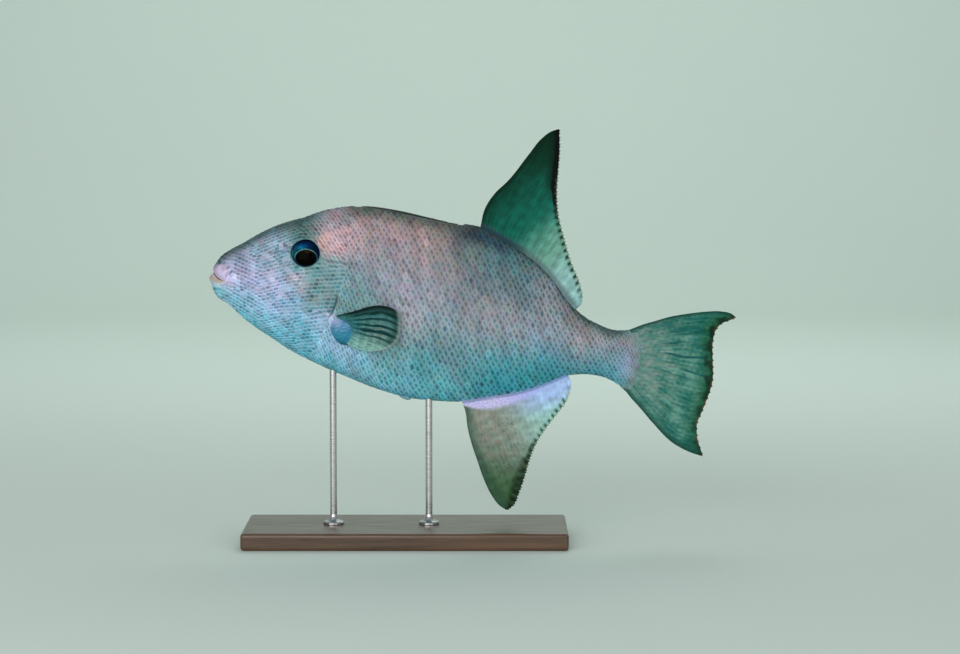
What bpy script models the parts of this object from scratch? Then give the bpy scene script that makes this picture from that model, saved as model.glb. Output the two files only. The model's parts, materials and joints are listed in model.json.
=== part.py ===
"""A life-size ocean triggerfish, held nose-up on a plain display stand.

The fish is drawn in its own frame, in millimetres: s runs rearwards from the snout along the
body's axis, y across it (the left flank is at -y) and t upwards. An empty then sets the whole
fish at its height and pitch over the stand.
"""

import math

import bmesh
import bpy
import numpy as np
from mathutils import Matrix, Vector

# Driving sizes, in millimetres and degrees
MM = 0.001
GAP = 0.3
ROOT_GAP = 0.4
PITCH = 10.5
SNOUT_X = -226.4
SNOUT_HEIGHT = 232.0

# Profile of the trunk: (s, t) along the back and along the belly
BACK = [
    (2.5, 11.0), (6, 17.5), (12, 24.0), (24, 33.6), (35, 43.2), (47, 51.9), (59, 58.6), (71, 64.4),
    (83, 71.4), (95, 76.6), (107, 80.6), (120, 83.1), (146, 84.4), (173, 84.0), (199, 83.1),
    (221, 83.4), (246, 75.4), (276, 62.2), (291, 51.2), (306, 36.6), (315, 28.8), (325, 23.2),
    (337, 19.4), (349, 17.0), (356, 17.4), (368, 21.3), (376, 25.8),
]
BELLY = [
    (2.5, -4.5), (6, -11.5), (21, -22.8), (36, -32.3), (50, -39.4), (65, -45.6), (79, -51.6),
    (107, -59.8), (135, -66.3), (162, -71.5), (189, -73.6), (214, -71.6), (236, -68.0),
    (257, -60.4), (274, -54.8), (290, -47.4), (304, -39.0), (318, -30.2), (329, -26.8),
    (341, -25.0), (352, -25.6), (364, -29.6), (376, -37.8),
]
# Half width at the widest level, and that level
HALF_WIDTH = [
    (2.5, 4.6), (6, 7.4), (12, 10.0), (24, 13.8), (36, 17.2), (50, 20.3), (65, 22.8), (80, 24.6),
    (100, 26.3), (125, 27.6), (150, 28.0), (180, 27.0), (210, 24.6), (240, 20.8), (270, 16.8),
    (300, 13.0), (320, 11.0), (340, 9.2), (356, 6.8), (366, 4.8), (376, 3.2),
]
WIDEST_LEVEL = [(2.5, 2.0), (24, 7.0), (50, 13.0), (80, 17.0), (110, 12.0), (150, 6.0), (200, 2.0),
                (250, -1.0), (300, -4.0), (340, -4.2), (376, -6.0)]
# How far the section sharpens to a ridge at back and belly: 1 is an ellipse
RIDGE = [(2.5, 0.95), (40, 1.05), (80, 1.12), (140, 1.2), (220, 1.25), (376, 1.15)]
RING_ANGLES = [0, 6, 15, 28, 42, 56, 70, 84, 98, 112, 126, 140, 154, 166, 174, 180]

# Where the body is parted: behind the gill opening, and behind the tall fins
GILL_CUT = {"s": 113.6, "t": 3.0, "slant": 0.238}
STEM_CUT_S = 322.0
TAIL_END_S = 376.0

# Head
EYE = {"s": 77.0, "t": 33.6, "radius": 12.2, "depth": 5.8, "sunk": 1.3}
UPPER_LIP = {"front": (5.2, 8.0), "corner": (12.0, 8.4, 1.9), "radius": 4.0, "end_radius": 2.6}
LOWER_LIP = {"front": (3.5, -2.3), "corner": (12.0, 8.4, -4.4), "radius": 4.2, "end_radius": 2.6}
MOUTH_LINE = [(-1.5, 0.0, 3.0), (2.5, 4.2, 2.7), (6.5, 7.6, 0.6), (11.5, 11.5, -1.3)]
MOUTH_DEPTH = 3.4
MOUTH_OPENING = 0.8
GILL_SLIT = [(110.6, 12.0), (111.4, 3.0), (109.4, -9.0), (106.2, -18.5)]
BROW_GROOVE = [(47.0, 29.6), (55.5, 32.4), (64.0, 34.0)]
NOSTRILS = [(53.6, 37.0), (58.6, 39.4)]
NOSTRIL_RADIUS = 0.9

# Folded first dorsal fin, lying in its groove
GROOVE = {"start": 113.0, "end": 207.0, "half_width": 3.0, "depth": 5.6}
FOLDED_SPINES = [
    {"root": 119.0, "tip": 176.0, "radius": 2.0, "proud": 0.5, "aside": -0.2},
    {"root": 148.0, "tip": 193.0, "radius": 1.5, "proud": 0.1, "aside": 0.45},
    {"root": 178.0, "tip": 202.0, "radius": 1.2, "proud": -0.2, "aside": -0.3},
]

# Fins: root on the trunk, front edge, outer margin and last ray, each (s, t)
SECOND_DORSAL = {
    "root": (221.5, 315.0),
    "front": [(222.6, 101.0), (229.5, 115.0), (240.5, 133.0), (252, 153), (261.5, 169)],
    "tip": (273.5, 178.8),
    "margin": [(277, 160), (278.8, 141.7), (281, 123), (286, 105.7), (293.7, 88.5), (303, 69.6),
               (314, 52.4)],
    "last": (322.0, 37.0),
    "rays": 26,
    "sheath": 11.0,
}
ANAL = {
    "root": (236.5, 319.0),
    "front": [(238, -76.5), (242, -88.9), (247.5, -101.5), (256, -117.5), (265, -134), (274, -145.5)],
    "tip": (289.5, -154.2),
    "margin": [(294.6, -146), (297.8, -131.6), (299.6, -117), (301.5, -103), (305.2, -88),
               (310, -75.5), (316.5, -62.7), (322.6, -51.5)],
    "last": (325.5, -38.0),
    "rays": 24,
    "sheath": 12.0,
}
CAUDAL = {
    "front": [(396, 36.6), (411, 42.2), (426, 46.8), (443, 50.0)],
    "upper_tip": (453.0, 47.4),
    "margin": [(446.5, 42.0), (440, 37.6), (437, 31), (436.4, 21), (438.5, 6), (441, -11),
               (439.5, -27), (436.2, -42), (434.6, -51), (437, -60)],
    "lower_tip": (447.5, -76.6),
    "back": [(437, -75.2), (421, -70.6), (402, -58.8), (386, -45.4)],
    "rays": 12,
}
PECTORAL = {
    "root": [(116.5, -15.5), (121.5, -20.0), (123.5, -26.0), (121.5, -32.0)],
    "front": [(131.2, -5.4), (139.7, -0.6), (147.2, 2.1), (156, 2.6)],
    "upper_tip": (164.8, 0.0),
    "margin": [(166.9, -4.5), (167.4, -11), (168.6, -19), (165.7, -25), (157, -31.5)],
    "lower_tip": (147.0, -35.0),
    "back": [(136.0, -34.6)],
    "rays": 14,
}
PECTORAL_PAD = {"s": 119.6, "t": -24.0, "length": 12.6, "breadth": 8.4, "height": 5.0, "tilt": -55.0}
PECTORAL_LIFT = 1.8
PECTORAL_FLARE = 0.34
PELVIC_KNOB = {"s": 184.0, "length": 11.0, "half_width": 2.2, "drop": 1.5}

# Display stand
BASE = {"x": -58.0, "length": 280.0, "width": 110.0, "height": 15.0, "edge": 3.0}
ROD_RADIUS = 3.0
ROD_FOOT = {"radius": 9.0, "height": 2.5, "fillet": 6.0}
ROD_SINK = 7.0
ROD_X = {"front": -121.0, "rear": -38.0}

COLOURS = {
    "scaled_skin": ((0.36, 0.38, 0.42), 0.45, 0.0),
    "fin_membrane": ((0.08, 0.16, 0.14), 0.5, 0.0),
    "spine": ((0.12, 0.12, 0.11), 0.5, 0.0),
    "eye": ((0.01, 0.02, 0.08), 0.05, 0.0),
    "stand_wood": ((0.12, 0.06, 0.03), 0.4, 0.0),
    "stand_metal": ((0.6, 0.6, 0.6), 0.3, 1.0),
}


def hermite(xs, ys, x):
    """Smooth curve through the points (xs, ys), read at x."""
    xs, ys = np.asarray(xs, float), np.asarray(ys, float)
    steps = np.diff(xs)
    rises = (np.diff(ys, axis=0).T / steps).T
    slopes = np.empty_like(ys)
    slopes[0], slopes[-1] = rises[0], rises[-1]
    for i in range(1, len(xs) - 1):
        before, after = steps[i - 1], steps[i]
        slopes[i] = (rises[i - 1] * after + rises[i] * before) / (before + after)
    i = int(np.clip(np.searchsorted(xs, x) - 1, 0, len(xs) - 2))
    f = (x - xs[i]) / steps[i]
    h = steps[i]
    return (
        ys[i] * (1 + 2 * f) * (1 - f) ** 2
        + slopes[i] * h * f * (1 - f) ** 2
        + ys[i + 1] * f * f * (3 - 2 * f)
        - slopes[i + 1] * h * f * f * (1 - f)
    )


def profile(table, s):
    points = np.array(table, float)
    return float(hermite(points[:, 0], points[:, 1], s))


def along(points, u):
    """Point at the fraction u of the length of a smooth path through the points."""
    points = np.array(points, float)
    lengths = np.linalg.norm(np.diff(points, axis=0), axis=1)
    places = np.concatenate([[0], np.cumsum(lengths)]) / lengths.sum()
    return hermite(places, points, u)


def section_point(s, angle, grow=0.0):
    """Point of the trunk's section at s: angle 0 is the back, 180 the belly, in degrees."""
    level = profile(WIDEST_LEVEL, s)
    reach = profile(BACK, s) - level if angle <= 90 else level - profile(BELLY, s)
    turn = math.radians(angle)
    across = (profile(HALF_WIDTH, s) + grow) * abs(math.sin(turn)) ** profile(RIDGE, s)
    return Vector((s, across, level + (reach + grow) * math.cos(turn)))


def flank(s, t):
    """Half width of the trunk at the height t."""
    level = profile(WIDEST_LEVEL, s)
    reach = profile(BACK, s) - level if t > level else level - profile(BELLY, s)
    share = min(abs(t - level) / reach, 1.0)
    return profile(HALF_WIDTH, s) * (1 - share * share) ** (profile(RIDGE, s) / 2)


def crest(s, across, upper):
    """Height of the trunk's back or belly at a small distance across from its midline."""
    level = profile(WIDEST_LEVEL, s)
    reach = profile(BACK, s) - level if upper else level - profile(BELLY, s)
    sine = min((abs(across) / profile(HALF_WIDTH, s)) ** (1 / profile(RIDGE, s)), 1.0)
    height = reach * math.sqrt(1 - sine * sine)
    return level + height if upper else level - height


def new_object(name, bm, material, collection):
    bmesh.ops.recalc_face_normals(bm, faces=bm.faces)
    mesh = bpy.data.meshes.new(name)
    bm.to_mesh(mesh)
    bm.free()
    obj = bpy.data.objects.new(name, mesh)
    collection.objects.link(obj)
    if material:
        mesh.materials.append(material)
    return obj


def scaled(points):
    return [Vector(point) * MM for point in points]


def loft(rings):
    """Closed mesh through rings of equal count, with flat ends."""
    bm = bmesh.new()
    rows = [[bm.verts.new(point) for point in scaled(ring)] for ring in rings]
    count = len(rows[0])
    for row, following in zip(rows, rows[1:]):
        for i in range(count):
            j = (i + 1) % count
            bm.faces.new((row[i], row[j], following[j], following[i]))
    bm.faces.new(rows[0])
    bm.faces.new(rows[-1][::-1])
    return bm


def trunk(grow=0.0):
    """The whole trunk, from the snout to the root of the tail fin."""
    stations = np.concatenate([
        [2.5, 5.0, 8.0, 12.0], np.linspace(16.5, 111, 22), np.linspace(117, 322, 34),
        np.linspace(328, TAIL_END_S, 9),
    ])
    rings = []
    for s in stations:
        one_side = [section_point(s, angle, grow) for angle in RING_ANGLES]
        other_side = [Vector((p.x, -p.y, p.z)) for p in one_side[-2:0:-1]]
        rings.append(one_side + other_side)
    return loft(rings)


def tube(path, radii, sides=10, flatten=1.0):
    """Round or flattened tube along a path of (s, y, t), with its own radius at each point."""
    up = Vector((0, 0, 1))
    rings = []
    for i, (centre, radius) in enumerate(zip(path, radii)):
        before, after = Vector(path[max(i - 1, 0)]), Vector(path[min(i + 1, len(path) - 1)])
        run = (after - before).normalized()
        side = run.cross(up).normalized()
        rise = side.cross(run)
        angles = [2 * math.pi * (k + 0.5) / sides for k in range(sides)]
        rings.append([
            Vector(centre) + radius * (math.cos(a) * side + flatten * math.sin(a) * rise)
            for a in angles
        ])
    return loft(rings)


def ellipsoid(centre, radii, axes, segments=20, rings=10):
    """Ellipsoid whose three radii lie along the columns of axes."""
    bm = bmesh.new()
    bmesh.ops.create_uvsphere(bm, u_segments=segments, v_segments=rings, radius=1.0)
    shape = Matrix.Diagonal([radius * MM for radius in radii])
    placed = (axes @ shape).to_4x4()
    placed.translation = Vector(centre) * MM
    bmesh.ops.transform(bm, matrix=placed, verts=bm.verts)
    return bm


def keep_largest(obj):
    """Keep the largest closed surface of a mesh, and drop any scrap that a cut left."""
    bm = bmesh.new()
    bm.from_mesh(obj.data)
    bmesh.ops.remove_doubles(bm, verts=bm.verts, dist=2e-6)
    bmesh.ops.dissolve_degenerate(bm, edges=bm.edges, dist=1e-6)
    unseen, shells = set(bm.verts), []
    while unseen:
        shell, waiting = set(), [unseen.pop()]
        while waiting:
            vert = waiting.pop()
            shell.add(vert)
            for edge in vert.link_edges:
                other = edge.other_vert(vert)
                if other in unseen:
                    unseen.remove(other)
                    waiting.append(other)
        shells.append(shell)
    shells.sort(key=len)
    for shell in shells[:-1]:
        bmesh.ops.delete(bm, geom=list(shell), context="VERTS")
    bm.to_mesh(obj.data)
    bm.free()


def combine(obj, others, operation):
    """Join the other objects to this one, or cut it by them, in one Boolean."""
    tools = bpy.data.collections.new("tools")
    bpy.context.scene.collection.children.link(tools)
    for other in others:
        for holder in list(other.users_collection):
            holder.objects.unlink(other)
        tools.objects.link(other)
    modifier = obj.modifiers.new("combined", "BOOLEAN")
    modifier.operation = operation
    modifier.solver = "EXACT"
    modifier.operand_type = "COLLECTION"
    modifier.collection = tools
    graph = bpy.context.evaluated_depsgraph_get()
    result = bpy.data.meshes.new_from_object(obj.evaluated_get(graph))
    obj.modifiers.clear()
    obj.data = result
    for other in others:
        bpy.data.objects.remove(other)
    bpy.data.collections.remove(tools)
    keep_largest(obj)


def slab(front, back, slant_front=0.0, slant_back=0.0):
    """Block that spans the body between two cuts, whose faces may slant in side view."""
    bm = bmesh.new()
    bmesh.ops.create_cube(bm, size=2.0)
    for vert in bm.verts:
        rear = vert.co.x > 0
        t = vert.co.z * 150.0
        slant = slant_back if rear else slant_front
        place = (back if rear else front) + slant * (t - GILL_CUT["t"])
        vert.co = Vector((place, vert.co.y * 60.0, t)) * MM
    return bm


def mirrored(path):
    return [(s, -y, t) for s, y, t in path]


def lip_path(lip, count=13):
    """Half hoop from one corner of the mouth round its front to the other."""
    corner_s, corner_y, corner_t = lip["corner"]
    front_s, front_t = lip["front"]
    path, radii = [], []
    for k in range(count):
        turn = math.pi * (k / (count - 1) - 0.5)
        fall = 1 - math.cos(turn)
        path.append((
            front_s + (corner_s - front_s) * fall,
            corner_y * math.sin(turn),
            front_t + (corner_t - front_t) * fall,
        ))
        radii.append(lip["radius"] + (lip["end_radius"] - lip["radius"]) * fall)
    return path, radii


def eye_frame(side):
    """Centre of the eye and its axes, the last of which points out of the head."""
    s, t = EYE["s"], EYE["t"]
    out = Vector((
        -(flank(s + 1, t) - flank(s - 1, t)) / 2, 1.0, -(flank(s, t + 1) - flank(s, t - 1)) / 2,
    )).normalized()
    out.y *= side
    centre = Vector((s, side * flank(s, t), t)) - out * EYE["sunk"]
    along_body = Vector((1, 0, 0))
    rise = out.cross(along_body).normalized()
    axes = Matrix((rise.cross(out), rise, out)).transposed()
    return centre, axes


def surface_path(points, side, lift=0.0):
    return [(s, side * (flank(s, t) + lift), t) for s, t in points]


def head_cutters(holder):
    """Sockets, nostrils, mouth, gill openings and the grooves in front of the eyes."""
    cutters = []
    round_mouth = [along(MOUTH_LINE, k / 8) for k in range(9)]
    mouth = mirrored(round_mouth[::-1])[:-1] + [tuple(point) for point in round_mouth]
    cutters.append(tube(mouth, [MOUTH_DEPTH] * len(mouth), 8, MOUTH_OPENING / MOUTH_DEPTH))
    for side in (-1, 1):
        centre, axes = eye_frame(side)
        grown = EYE["radius"] + GAP
        cutters.append(ellipsoid(centre, (grown, grown, EYE["depth"] + GAP), axes, 20, 10))
        gill = surface_path([along(GILL_SLIT, k / 6) for k in range(7)], side, 0.4)
        cutters.append(tube(gill, [0.3, 1.2, 1.6, 1.7, 1.6, 1.2, 0.3], 8))
        brow = surface_path([along(BROW_GROOVE, k / 4) for k in range(5)], side, 0.5)
        cutters.append(tube(brow, [0.7, 1.1, 1.2, 1.1, 0.7], 8))
        for s, t in NOSTRILS:
            hole = Vector((s, side * flank(s, t), t))
            radii = (NOSTRIL_RADIUS, NOSTRIL_RADIUS, 1.6)
            cutters.append(ellipsoid(hole, radii, axes, 10, 6))
    return [new_object(f"cutter_{i}", bm, None, holder) for i, bm in enumerate(cutters)]


def back_channel(half_width, depth, start, end, top_clear):
    """Bar along the midline of the back: it cuts the groove, and a slimmer one fills it."""
    rings = []
    for f in np.linspace(0, 1, 17):
        s = start + (end - start) * f
        taper = 0.5 + 0.5 * math.sin(math.pi * f) ** 0.4
        high, low = profile(BACK, s) + top_clear, profile(BACK, s) - depth * taper
        shoulder = low + 0.25 * min(high - low, depth)
        wide, narrow = half_width * taper, half_width * taper * 0.55
        rings.append([
            (s, wide, high), (s, wide, shoulder), (s, narrow, low),
            (s, -narrow, low), (s, -wide, shoulder), (s, -wide, high),
        ])
    return loft(rings)


def rod_place(x):
    """(s, t) of the belly above the rod that stands at x."""
    pitch = math.radians(PITCH)
    s = x - SNOUT_X
    for _ in range(20):
        t = profile(BELLY, s)
        s = (x - SNOUT_X - t * math.sin(pitch)) / math.cos(pitch)
    return s, profile(BELLY, s)


def rod_top(x):
    s, t = rod_place(x)
    pitch = math.radians(PITCH)
    return SNOUT_HEIGHT - s * math.sin(pitch) + t * math.cos(pitch) + ROD_SINK


def rod_sockets(holder):
    """Blind holes in the belly that take the rods, upright once the fish is pitched."""
    made = []
    lean = Matrix.Rotation(math.radians(-PITCH), 4, "Y")
    for name, x in ROD_X.items():
        s, t = rod_place(x)
        length = 40.0
        bm = bmesh.new()
        bmesh.ops.create_cone(
            bm, cap_ends=True, segments=20, radius1=(ROD_RADIUS + GAP) * MM,
            radius2=(ROD_RADIUS + GAP) * MM, depth=length * MM,
        )
        up = lean @ Vector((0, 0, 1))
        middle = Vector((s, 0, t)) + up * (ROD_SINK + GAP - length / 2)
        bmesh.ops.transform(bm, matrix=Matrix.Translation(middle * MM) @ lean, verts=bm.verts)
        made.append(new_object(f"socket_{name}", bm, None, holder))
    return made


def build_body(holder, skin):
    """Head, torso and tail stem: one trunk, carved and then parted with thin cuts."""
    whole = new_object("whole", trunk(), None, holder)
    lips = []
    for lip in (UPPER_LIP, LOWER_LIP):
        path, radii = lip_path(lip)
        lips.append(new_object("lip", tube(path, radii, 12), None, holder))
    combine(whole, lips, "UNION")
    groove = back_channel(GROOVE["half_width"], GROOVE["depth"], GROOVE["start"], GROOVE["end"], 6.0)
    cutters = head_cutters(holder) + rod_sockets(holder)
    cutters.append(new_object("groove", groove, None, holder))
    combine(whole, cutters, "DIFFERENCE")
    half = GAP / 2
    spans = {
        "head": (-40.0, GILL_CUT["s"] - half, 0.0, GILL_CUT["slant"]),
        "torso": (GILL_CUT["s"] + half, STEM_CUT_S - half, GILL_CUT["slant"], 0.0),
        "tail_stem": (STEM_CUT_S + half, TAIL_END_S + 40.0, 0.0, 0.0),
    }
    parts = []
    for name, span in spans.items():
        part = bpy.data.objects.new(name, whole.data.copy())
        holder.objects.link(part)
        part.data.materials.clear()
        combine(part, [new_object("block", slab(*span), None, holder)], "INTERSECT")
        part.data.materials.clear()
        part.data.materials.append(skin)
        parts.append(part)
    bpy.data.objects.remove(whole)
    return parts


def build_eye(name, side, holder, material):
    centre, axes = eye_frame(side)
    radii = (EYE["radius"], EYE["radius"], EYE["depth"])
    return new_object(name, ellipsoid(centre, radii, axes, 20, 10), material, holder)


def ray_columns(rays, branch_from=None):
    """Columns across a fin, each (place, ridge at the root, ridge at the margin)."""
    columns = []
    for ray in range(rays):
        if branch_from is None:
            columns += [((ray + f) / rays, ridge, ridge) for f, ridge in ((0.2, 0.0), (0.5, 1.0), (0.8, 0.0))]
        else:
            columns += [
                ((ray + 0.06) / rays, 0.0, 0.0), ((ray + 0.3) / rays, 1.0, 1.0),
                ((ray + 0.5) / rays, 1.0, 0.0), ((ray + 0.7) / rays, 1.0, 1.0),
            ]
    first, last = columns[0], columns[-1]
    return [(0.0,) + first[1:]] + columns + [(1.0,) + last[1:]]


def coons(root, front, margin, back, u, v):
    """Point of the sheet spanned by four edges: u runs from front to back, v from root to margin."""
    low, high = root(u), along(margin, u)
    fore, aft = along(front, v), along(back, v)
    corners = (
        (1 - u) * (1 - v) * root(0) + u * (1 - v) * root(1)
        + (1 - u) * v * along(margin, 0) + u * v * along(margin, 1)
    )
    return (1 - v) * low + v * high + (1 - u) * fore + u * aft - corners


def fin_sheet(columns, rows, place, thickness, seat):
    """Fin as one closed sheet: place gives a point and its sideways push, thickness the half
    thickness, and seat the middle of the root. Both faces are split into the same triangles."""
    bm = bmesh.new()
    left, right, middle = [], [], []
    for u, root_ridge, margin_ridge in columns:
        left_column, right_column = [], []
        for v in rows:
            blend = min(max((v - 0.35) / 0.4, 0.0), 1.0)
            ridge = root_ridge + (margin_ridge - root_ridge) * blend
            half = thickness(u, v, ridge)
            left_column.append(bm.verts.new(place(u, v, ridge, -half) * MM))
            right_column.append(bm.verts.new(place(u, v, ridge, half) * MM))
        left.append(left_column)
        right.append(right_column)
        middle.append(bm.verts.new(seat(u) * MM))
    last_row, last_column = len(rows) - 1, len(columns) - 1
    for i in range(last_column):
        for j in range(last_row):
            for face in (left, right):
                a, b, c, d = face[i][j], face[i + 1][j], face[i + 1][j + 1], face[i][j + 1]
                bm.faces.new((a, b, c))
                bm.faces.new((a, c, d))
        for face in (left, right):
            bm.faces.new((face[i][0], middle[i], middle[i + 1]))
            bm.faces.new((face[i][0], middle[i + 1], face[i + 1][0]))
        bm.faces.new((left[i][last_row], left[i + 1][last_row], right[i + 1][last_row]))
        bm.faces.new((left[i][last_row], right[i + 1][last_row], right[i][last_row]))
    for i in (0, last_column):
        bm.faces.new((left[i][0], middle[i], left[i][1]))
        bm.faces.new((middle[i], right[i][1], left[i][1]))
        bm.faces.new((middle[i], right[i][0], right[i][1]))
        for j in range(1, last_row):
            bm.faces.new((left[i][j], left[i][j + 1], right[i][j + 1]))
            bm.faces.new((left[i][j], right[i][j + 1], right[i][j]))
    return bm


def median_fin(name, fin, upper, sway, holder, material):
    """Second dorsal or anal fin: it stands on the ridge of the back or belly."""
    start, end = fin["root"]
    crest_side = 1 if upper else -1

    def root(u):
        s = start + (end - start) * u
        return np.array((s, crest(s, 0.0, upper) + crest_side * ROOT_GAP))

    front = [root(0)] + fin["front"] + [fin["tip"]]
    margin = [fin["tip"]] + fin["margin"] + [fin["last"]]
    back = [root(1), fin["last"]]
    heights = np.linalg.norm(np.array(fin["tip"]) - root(0))
    rows = [0.0, 0.1, 0.32, 0.6, 0.85, 1.0]

    def thickness(u, v, ridge):
        height = v * heights * (1 - 0.85 * u)
        swell = max(1 - height / fin["sheath"], 0.0)
        taper = 1 - v
        thick_root = (2.0 - 0.6 * u) * swell * swell
        lead = 0.5 * math.exp(-((u / 0.03) ** 2)) * taper
        bare = 1 - swell
        return 0.30 + 0.35 * taper + thick_root + bare * (lead + ridge * (0.22 + 0.33 * taper))

    def place(u, v, ridge, across):
        reach = v * (1 - 0.012 * (1 - ridge) * (v > 0.99))
        s, t = coons(root, front, margin, back, u, reach)
        if v == 0.0:
            t = crest(s, across, upper) + crest_side * ROOT_GAP
        push = sway * v * math.sin(2 * math.pi * (0.85 * u + 0.1))
        return Vector((s, across + push, t))

    def seat(u):
        s, t = root(u)
        return Vector((s, 0.0, t + 0.1 * crest_side))

    bm = fin_sheet(ray_columns(fin["rays"]), rows, place, thickness, seat)
    return new_object(name, bm, material, holder)


def tail_fin(holder, material):
    """Tail fin: a fan of branched rays on the end of the tail stem."""
    top, bottom = profile(BACK, TAIL_END_S), profile(BELLY, TAIL_END_S)
    root_s = TAIL_END_S + GAP

    def root(u):
        return np.array((root_s, top + (bottom - top) * u))

    front = [root(0)] + CAUDAL["front"] + [CAUDAL["upper_tip"]]
    margin = [CAUDAL["upper_tip"]] + CAUDAL["margin"] + [CAUDAL["lower_tip"]]
    back = [root(1)] + CAUDAL["back"][::-1] + [CAUDAL["lower_tip"]]

    def thickness(u, v, ridge):
        taper = 1 - v
        spread = math.sin(math.pi * min(max(u, 0.04), 0.96)) ** 0.5
        edge = 0.5 * (math.exp(-((u / 0.05) ** 2)) + math.exp(-(((1 - u) / 0.05) ** 2))) * taper
        return 0.3 + 1.7 * spread * taper**2.5 + edge + ridge * (0.2 + 0.35 * taper)

    def place(u, v, ridge, across):
        reach = v * (1 - 0.015 * (1 - ridge) * (v > 0.99))
        s, t = coons(root, front, margin, back, u, reach)
        push = 3.0 * v * v * math.sin(2 * math.pi * (0.8 * u + 0.15))
        return Vector((s, across + push, t))

    def seat(u):
        s, t = root(u)
        return Vector((s, 0.0, t))

    rows = [0.0, 0.18, 0.4, 0.68, 1.0]
    columns = ray_columns(CAUDAL["rays"], branch_from=0.35)
    return new_object("caudal_fin", fin_sheet(columns, rows, place, thickness, seat), material, holder)


def pectoral_fin(name, side, holder, material):
    """Pectoral fin: a fan of rays on a fleshy pad that sits on the flank."""
    fin = PECTORAL
    front = [fin["root"][0]] + fin["front"] + [fin["upper_tip"]]
    margin = [fin["upper_tip"]] + fin["margin"] + [fin["lower_tip"]]
    back = [fin["root"][-1]] + fin["back"] + [fin["lower_tip"]]
    pad_y = flank(PECTORAL_PAD["s"], PECTORAL_PAD["t"])

    def root(u):
        return along(fin["root"], u)

    def thickness(u, v, ridge):
        taper = 1 - v
        return 0.28 + 0.5 * taper**2 + ridge * (0.16 + 0.3 * taper)

    def place(u, v, ridge, across):
        reach = v * (1 - 0.02 * (1 - ridge) * (v > 0.99))
        s, t = coons(root, front, margin, back, u, reach)
        away = s - PECTORAL_PAD["s"]
        bow = 1.6 * math.sin(math.pi * u) * v - 0.0016 * away * away
        outward = pad_y + PECTORAL_LIFT + PECTORAL_FLARE * away + bow
        return Vector((s, side * (outward + across), t))

    def seat(u):
        return place(u, 0.0, 0.0, 0.0) - Vector((0.8, 0.0, 0.0))

    columns = ray_columns(fin["rays"])
    sheet = fin_sheet(columns, [0.0, 0.2, 0.45, 0.72, 1.0], place, thickness, seat)
    fan = new_object(name, sheet, material, holder)
    tilt = math.radians(PECTORAL_PAD["tilt"])
    length_axis = Vector((math.cos(tilt), 0, math.sin(tilt)))
    out = Vector((0, side, 0))
    axes = Matrix((length_axis, out.cross(length_axis), out)).transposed()
    centre = Vector((PECTORAL_PAD["s"], side * (pad_y - 0.4), PECTORAL_PAD["t"]))
    radii = (PECTORAL_PAD["length"], PECTORAL_PAD["breadth"], PECTORAL_PAD["height"] + 0.8)
    pad = new_object("pad", ellipsoid(centre, radii, axes, 16, 8), None, holder)
    combine(fan, [pad], "UNION")
    clearance = new_object("clearance", trunk(GAP), None, holder)
    combine(fan, [clearance], "DIFFERENCE")
    fan.data.materials.clear()
    fan.data.materials.append(material)
    return fan


def first_dorsal(holder, material):
    """First dorsal fin folded down: spines and their web lying one behind another in the groove."""
    start, end = GROOVE["start"] + 3.0, GROOVE["end"] - 2.5
    web = back_channel(1.5, GROOVE["depth"] - 1.2, start, end, -1.0)
    fin = new_object("first_dorsal_fin", web, material, holder)
    spines = []
    for spine in FOLDED_SPINES:
        path, radii = [], []
        for k in range(9):
            f = k / 8
            s = spine["root"] + (spine["tip"] - spine["root"]) * f
            radius = spine["radius"] * (1 - 0.65 * f)
            height = profile(BACK, s) + spine["proud"] * math.sin(math.pi * f) - radius
            path.append((s, spine["aside"], height))
            radii.append(radius)
        spines.append(new_object("spine", tube(path, radii, 7), None, holder))
    combine(fin, spines, "UNION")
    return fin


def pelvic_knob(holder, material):
    """The small fixed stub at the end of the pelvis, which stands in for pelvic fins."""
    s, half = PELVIC_KNOB["s"], PELVIC_KNOB["length"] / 2
    path = [(s + half * f, 0.0, profile(BELLY, s + half * f) + 1.2 - PELVIC_KNOB["drop"] * 0.5 * (1 + f))
            for f in (-1.0, -0.5, 0.0, 0.5, 1.0)]
    radii = [1.2, 2.0, PELVIC_KNOB["half_width"], 2.2, 1.1]
    knob = new_object("pelvic_spine", tube(path, radii, 10), material, holder)
    combine(knob, [new_object("clearance", trunk(GAP), None, holder)], "DIFFERENCE")
    return knob


def stand_base(holder, material):
    """Flat wooden plinth."""
    bm = bmesh.new()
    bmesh.ops.create_cube(bm, size=1.0)
    size = Matrix.Diagonal((BASE["length"] * MM, BASE["width"] * MM, BASE["height"] * MM)).to_4x4()
    bmesh.ops.transform(bm, matrix=size, verts=bm.verts)
    base = new_object("stand_base", bm, material, holder)
    base.location = (BASE["x"] * MM, 0.0, BASE["height"] / 2 * MM)
    bevel = base.modifiers.new("rounded_edges", "BEVEL")
    bevel.width = BASE["edge"] * MM
    bevel.segments = 3
    return base


def stand_rod(name, x, holder, material):
    """Turned rod with a spread foot, standing on the plinth."""
    foot, low = ROD_FOOT, BASE["height"] + GAP
    top = rod_top(x)
    outline = [(0.0, top), (ROD_RADIUS, top), (ROD_RADIUS, low + foot["height"] + foot["fillet"])]
    for k in range(1, 5):
        turn = math.radians(90 * k / 4)
        outline.append((
            ROD_RADIUS + (foot["radius"] - 1.0 - ROD_RADIUS) * (1 - math.cos(turn)),
            low + foot["height"] + foot["fillet"] * (1 - math.sin(turn)),
        ))
    outline += [(foot["radius"], low + foot["height"] - 0.8), (foot["radius"], low), (0.0, low)]
    bm = bmesh.new()
    verts = [bm.verts.new(Vector((r, 0.0, z)) * MM) for r, z in outline]
    for first, second in zip(verts, verts[1:]):
        bm.edges.new((first, second))
    rod = new_object(name, bm, material, holder)
    rod.location.x = x * MM
    screw = rod.modifiers.new("turned", "SCREW")
    screw.steps = screw.render_steps = 16
    screw.use_merge_vertices = True
    screw.merge_threshold = 1e-5
    return rod


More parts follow.
